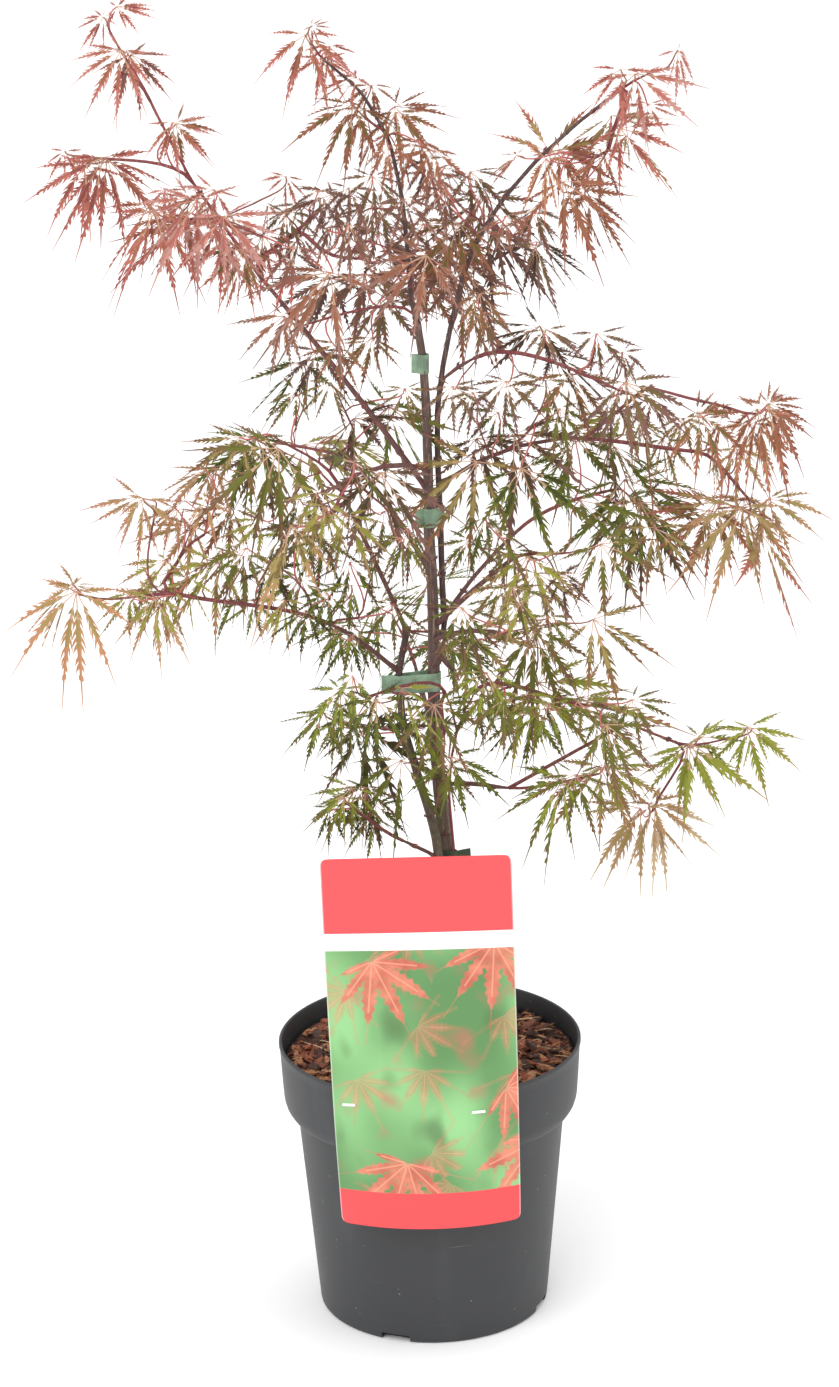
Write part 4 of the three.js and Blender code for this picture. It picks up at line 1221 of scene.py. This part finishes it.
def build_soil(finish):
    """Compost that fills the pot, with a rough surface under the chips."""
    top = SOIL_TOP / MM
    rows = [(68.0, 2.6), (69.8, 5.2), (75.4, 67), (80.9, 129), (81.3, 132.5), (87.2, 135.8), (89.4, 142),
            (90.8, 158), (91.0, top - 4.5)]
    rows += [(radius, top - 3.0) for radius in (88, 84, 79, 73, 66, 58, 49, 39, 28, 16, 6)]
    soil = turned(rows, 96)
    rng = np.random.default_rng(SEEDS["compost"])
    for vertex in soil.data.vertices:
        if vertex.co.z > (top - 5) * MM:
            vertex.co.z = soil_height(vertex.co.x, vertex.co.y) - rng.uniform(0.3, 2.2) * MM
    finish_piece(soil, "compost", [finish], ["soil"])


def chip_shape(rng):
    """A bark shard two unit cells long: 12 points and 10 faces, split and slightly bowed."""
    points = []
    rows = (-0.5, rng.uniform(0.35, 0.8)), (rng.uniform(-0.15, 0.15), 1.0), (0.5, rng.uniform(0.2, 0.7))
    for along, width in rows:
        for side, over in ((-0.5, -0.5), (0.5, -0.5), (0.5, 0.5), (-0.5, 0.5)):
            jog = rng.uniform(-0.14, 0.14, 3)
            height = over * (0.6 + 0.4 * width) + jog[2] * 0.6 + 0.35 * (0.25 - along ** 2)
            points.append((along + jog[0] * 0.7, side * width + jog[1], height))
    faces = [[3, 2, 1, 0], [8, 9, 10, 11]]
    for row in (0, 4):
        for side in range(4):
            after = (side + 1) % 4
            faces.append([row + side, row + after, row + 4 + after, row + 4 + side])
    return np.array(points), faces


def build_mulch(finishes, fibre):
    """Bark chips scattered over the compost, with fine crumbs between them and a few pale fibres."""
    rng = np.random.default_rng(SEEDS["mulch"])
    shapes = [chip_shape(rng) for _ in range(14)]
    chips = Pile()
    chip_reach, fibre_reach, fibre_limit = 88 * MM, 84 * MM, 91 * MM
    # (how many, the shortest, the longest, how high they may lie), in mm.
    crumbs, shards, slabs = (1500, 1.4, 4.5, 0.2), (900, 4.5, 10, 1.6), (150, 9, 15, 2.4)
    for count, small, large, lift in (crumbs, shards, slabs):
        for _ in range(count):
            reach, turn = chip_reach * math.sqrt(rng.random()), rng.uniform(0, 2 * math.pi)
            x, y = reach * math.cos(turn), reach * math.sin(turn)
            length = rng.uniform(small, large) * MM
            if reach + length / 2 > WALL_RADIUS or math.hypot(x - TRUNK_ACROSS, y) < TRUNK_ROOM:
                continue
            width = length * rng.uniform(0.3, 0.65)
            thick = min(width * rng.uniform(0.25, 0.6), 3 * MM)
            points, faces = shapes[rng.integers(len(shapes))]
            heading, tip, roll = rng.uniform(0, 2 * math.pi), rng.normal(0, 0.28), rng.normal(0, 0.4)
            turned_by = np.array(Matrix.Rotation(heading, 3, "Z") @ Matrix.Rotation(tip, 3, "Y")
                                 @ Matrix.Rotation(roll, 3, "X"))
            middle = np.array([x, y, soil_height(x, y) + rng.uniform(0, lift) * MM])
            points = middle + (points * (length, width, thick)) @ turned_by.T
            chips.add(points, faces, int(rng.integers(len(finishes))))
    chips.piece("mulch_chips", "potting_mulch", finishes, smooth=False)
    fibres = Pile()
    for _ in range(70):
        reach, turn = fibre_reach * math.sqrt(rng.random()), rng.uniform(0, 2 * math.pi)
        x, y = reach * math.cos(turn), reach * math.sin(turn)
        heading = rng.uniform(0, 2 * math.pi)
        run = np.array([math.cos(heading), math.sin(heading), rng.normal(0, 0.12)]) * rng.uniform(4, 11) * MM
        middle = np.array([x, y, soil_height(x, y) + rng.uniform(1.6, 3.2) * MM])
        arch = middle - run * 0.3 + (0, 0, 1.2 * MM)
        path = bezier(middle - run, arch, middle + run * 0.3, middle + run, 6)
        if np.hypot(path[:, 0], path[:, 1]).max() < fibre_limit:
            fibres.add(*rod(path, np.array([0.2, 0.32, 0.36, 0.34, 0.28, 0.15]) * MM, 5))
    fibres.piece("mulch_fibres", "potting_mulch", [fibre])


def laid_strip(path, over, width, thickness):
    """A flat strip that follows a path, width along over, given its thickness and soft edges."""
    start_fresh()
    bpy.ops.mesh.primitive_grid_add(x_subdivisions=len(path) - 1, y_subdivisions=2, size=1)
    piece = bpy.context.object
    for vertex in piece.data.vertices:
        row = round((vertex.co.x + 0.5) * (len(path) - 1))
        share = vertex.co.y
        vertex.co = Vector(path[row]) + Vector(over) * width * share
    skin = piece.modifiers.new("thickness", "SOLIDIFY")
    skin.thickness = thickness
    skin.offset = 0
    edges = piece.modifiers.new("soft_edges", "BEVEL")
    edges.width = thickness * 0.3
    edges.segments = 2
    edges.limit_method = "ANGLE"
    apply_modifiers(piece)
    bpy.ops.object.mode_set(mode="EDIT")
    bpy.ops.mesh.select_all(action="SELECT")
    bpy.ops.mesh.normals_make_consistent(inside=False)
    bpy.ops.object.mode_set(mode="OBJECT")
    return piece


def loop_round(spots, radii, steps, start=math.pi):
    """A level loop round one or two stems, as points; it starts at its left, or at its right with 0."""
    first, last = spots[0], spots[-1]
    run = (last - first) * LEVEL
    heading = math.atan2(run[1], run[0])
    loop = []
    for share in np.linspace(0, 1, steps):
        turn = start + 2 * math.pi * share
        near_last = math.cos(turn) > 0
        centre, radius = (last, radii[-1]) if near_last else (first, radii[0])
        out = np.array([math.cos(turn + heading), math.sin(turn + heading), 0])
        loop.append(centre * LEVEL + first * (0, 0, 1) + out * radius)
    return loop


def stem_at(node, height):
    """A stem's centre and radius where it crosses a height."""
    points = node_points(node)
    edges = np.array([edge.vertices[:] for edge in frame["nodes"][node].data.edges])
    start, end = points[edges[:, 0]], points[edges[:, 1]]
    crossing = (start[:, 2] - height) * (end[:, 2] - height) < 0
    part = ((height - start[crossing, 2]) / (end - start)[crossing, 2])[:, None]
    cut = start[crossing] * (1 - part) + end[crossing] * part
    middle = (cut.min(axis=0) + cut.max(axis=0)) / 2
    return middle, np.linalg.norm((cut - middle)[:, :2], axis=1).max()


def build_tie(name, stems, flap, finish, replaced):
    """Tape round the stems whose two ends are pinched together as a flap at the left."""
    stand_off, lean, pinch = 0.55 * MM, 0.5 * MM, 0.75 * MM
    low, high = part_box(replaced)
    height = (low.z + high.z) / 2
    crossings = [stem_at(stem, height) for stem in stems]
    crossings.sort(key=lambda crossing: crossing[0][0])
    spots = [middle for middle, _ in crossings]
    radii = [radius + stand_off for _, radius in crossings]
    loop = loop_round(spots, radii, 49)
    outward = unit(loop[0] - spots[0])
    ends = [loop[0] + outward * flap * share + np.array([0, lean * share, 0])
            for share in (1, 0.66, 0.33)]
    path = ends + loop + [end + np.array([0, pinch, 0]) for end in ends[::-1]]
    tape = laid_strip(path, (0.02, 0, 1), TAPE_WIDTH, TAPE_THICKNESS)
    finish_piece(tape, name, [finish], [replaced])
    smooth_by_angle(tape, 50)


def build_low_tie(finish):
    """A dark band that holds the thin side shoot to the trunk, pinched together at the right."""
    width, flap_length, flap_rise, pinch = 7 * MM, 9 * MM, 1.5 * MM, 0.7 * MM
    trunk_middle, trunk_radius = stem_at("trunk", LOW_TIE_HEIGHT)
    shoot = np.array([17 * MM, -4 * MM, LOW_TIE_HEIGHT])
    loop = loop_round([trunk_middle, shoot], [trunk_radius + 0.9 * MM, 1.9 * MM], 41, start=0)
    end = loop[0]
    flap = [end + np.array([share * flap_length, 0, share * flap_rise]) for share in (1, 0.5)]
    path = flap + loop + [place + np.array([0, pinch, 0]) for place in flap[::-1]]
    tape = laid_strip(path, (-0.05, 0, 1), width, TAPE_THICKNESS)
    finish_piece(tape, "tie_lowest", [finish])
    smooth_by_angle(tape, 50)


def card_bend(up):
    """The radius of the card's bend, in mm, at a share of its height."""
    return min(CARD_FLATTEST, CARD_FOOT_RADIUS / max(1 - up, 1e-9) ** CARD_EASING)


def card_place(across, up, front=CARD_FRONT - 0.4):
    """Where a point of the flat card comes to lie, in metres.

    across is metres from its middle and up a share of its height. front is how far in front of the
    pot's axis the sheet's middle hangs, in mm.
    """
    bend = card_bend(up) * MM
    back = bend - CARD_FRONT * MM
    radius = front * MM + back
    bent = Vector((radius * math.sin(across / bend), back - radius * math.cos(across / bend),
                   (CARD_HEIGHT * up + CARD_BOTTOM - RIM_HEIGHT) * MM))
    leant = Matrix.Rotation(math.radians(-CARD_LEAN), 3, "Y") @ bent + Vector((0, 0, RIM_HEIGHT * MM))
    return Matrix.Rotation(math.radians(CARD_SWING), 3, "Z") @ leant


def card_ripple(across, up):
    """How far the sheet swells forward out of its even bend, in mm."""
    return max(0, 0.5 * math.sin(9 * up + 18 * across) * (1 - up))


def build_card(finish):
    """The picture card: a sheet with rounded corners, bent to the pot, printed on both faces."""
    width, height, corner = CARD_WIDTH * MM, CARD_HEIGHT * MM, 4 * MM
    start_fresh()
    bpy.ops.mesh.primitive_grid_add(x_subdivisions=44, y_subdivisions=80, size=1)
    card = bpy.context.object
    half = Vector((width / 2, height / 2, 0))
    for vertex in card.data.vertices:
        flat = Vector((vertex.co.x * width, vertex.co.y * height, 0))
        heart = Vector((math.copysign(half.x - corner, flat.x), math.copysign(half.y - corner, flat.y), 0))
        off = flat - heart
        outside = abs(flat.x) > abs(heart.x) and abs(flat.y) > abs(heart.y)
        if outside and off.length > corner:
            flat = heart + off.normalized() * corner
        up = flat.y / height + 0.5
        vertex.co = card_place(flat.x, up, CARD_FRONT - 0.4 + card_ripple(flat.x, up))
    skin = card.modifiers.new("thickness", "SOLIDIFY")
    skin.thickness = CARD_THICKNESS * MM
    skin.offset = 0
    skin.use_even_offset = True
    apply_modifiers(card)
    finish_piece(card, "picture_card_sheet", [finish], ["picture_card"])
    smooth_by_angle(card, 40)


def build_tongues(finish):
    """Two tongues that hook the card over the rim, and the curled edge of the slit that each leaves."""
    inner_radius, tongue_width, curl_width, thickness = 92.3, 9, 8, 0.35
    for name, place, slit in (("left", -47, 172.5), ("right", 32, 167.0)):
        bend = card_bend((RIM_HEIGHT - CARD_BOTTOM) / CARD_HEIGHT)
        aside = abs(place) + tongue_width / 2
        wall = math.sqrt(inner_radius ** 2 - aside ** 2)
        inside = (wall + bend - CARD_FRONT) / math.cos(place / bend) - bend + CARD_FRONT
        # Rows of (distance in front of the pot's axis, height), in mm.
        hook = [(96.9, slit - 0.5), (96.2, slit + 2.0), (95.4, 177.2), (94.2, 178.9), (inside + 2.5, 179.2),
                (inside, 178.7), (inside - 0.7, 177.0), (inside - 0.9, 172.0)]
        curl = [(97.0, slit + 1.3), (97.7, slit + 1.2), (98.0, slit + 0.6), (97.9, slit - 0.1)]
        for kind, rows, width in (("tongue", hook, tongue_width), ("slit_curl", curl, curl_width)):
            path = [card_place(place * MM, (height - CARD_BOTTOM) / CARD_HEIGHT, front)
                    for front, height in rows]
            swing = place / bend + math.radians(CARD_SWING)
            over = (math.cos(swing), math.sin(swing), 0.04)
            strip = laid_strip(path, over, width * MM, thickness * MM)
            finish_piece(strip, "card_%s_%s" % (kind, name), [finish])
            smooth_by_angle(strip, 50)


add_camera()
add_studio()

parts = {part["node"]: part["material_slot"] for part in frame["record"]["subparts"]}
trunk_bark = bark_finish("trunk_bark", rgb(98, 92, 74), rgb(92, 72, 66), rgb(160, 138, 120),
                         0.23, 0.42, 0.5 * MM)
stem_bark = bark_finish("stem_bark", rgb(86, 84, 64), rgb(78, 58, 56), rgb(138, 114, 102),
                        0.28, 0.44, 0.3 * MM)
bough_bark = bark_finish("bough_bark", rgb(92, 60, 56), rgb(104, 64, 62), rgb(150, 106, 96),
                         0.35, 0.7, 0.15 * MM)
shoot_bark = bark_finish("shoot_bark", rgb(116, 58, 56), rgb(128, 62, 64), rgb(176, 112, 100),
                         0.35, 0.75, 0.1 * MM)
limb_paths = [grow_trunk(trunk_bark)]
for node, slot in parts.items():
    if node.endswith("_stem") or node.startswith("leader"):
        limb_paths.append(grow_limb(node, stem_bark))
for node, slot in parts.items():
    if node.startswith(("bough", "shoot")):
        limb_paths.append(grow_limb(node, bough_bark if node.startswith("bough") else shoot_bark))
grow_side_shoot(shoot_bark)
buds = Pile()
add_buds(buds, limb_paths, SEEDS["buds"])
buds.piece("buds", "shoot_bark", [bough_bark, shoot_bark])

crown = Crown({node: slot for node, slot in parts.items() if node.startswith("mass")})
crown.grow()
masses_of = {}
for node, slot in crown.slots.items():
    masses_of.setdefault(slot, []).append(node)
for slot, pile in crown.piles.items():
    if pile.count:
        finishes = [Finish("leaf_" + name, rgb(*LEAF_TINTS[name]), 0.7, specular_ior_level=0.3)
                    for name in crown.palette(slot)]
        pile.piece("leaves_" + slot.split("_")[1], slot, finishes, masses_of[slot], smooth=False)
crown.twigs.piece("twigs", "shoot_bark", [shoot_bark])
crown.stalks.piece("leaf_stalks", "shoot_bark", [Finish("stalk_pink", rgb(184, 100, 94), 0.6),
                                                 Finish("stalk_brown", rgb(136, 88, 66), 0.6)])

build_pot(plastic_finish())
compost = chip_finish("compost", rgb(46, 28, 20), rgb(86, 52, 36))
build_soil(compost)
build_mulch([chip_finish("chip_red", rgb(104, 56, 38), rgb(158, 90, 62)),
             chip_finish("chip_brown", rgb(82, 48, 34), rgb(130, 78, 56)),
             chip_finish("chip_dark", rgb(50, 32, 26), rgb(84, 54, 42)),
             chip_finish("chip_tan", rgb(124, 80, 54), rgb(180, 128, 90))],
            chip_finish("fibre_pale", rgb(168, 132, 96), rgb(208, 178, 138)))
build_card(print_finish(CARD_WIDTH * MM, CARD_HEIGHT * MM))
card_back = Finish("card_back", rgb(236, 236, 232), 0.45)
clouding = card_back.noise(card_back.object_place(), 35)
card_back.set("Base Color", card_back.blend(clouding, rgb(228, 228, 222), rgb(242, 242, 240)))
build_tongues(card_back)
tape = tape_finish("tie_tape", rgb(124, 150, 126))
build_tie("tie_band_low", ["left_stem", "trunk"], 8 * MM, tape, "tie_low")
build_tie("tie_band_middle", ["trunk", "right_stem"], 6 * MM, tape, "tie_middle")
build_tie("tie_band_high", ["trunk"], 4 * MM, tape, "tie_high")
build_low_tie(tape_finish("tie_dark", rgb(52, 74, 52)))
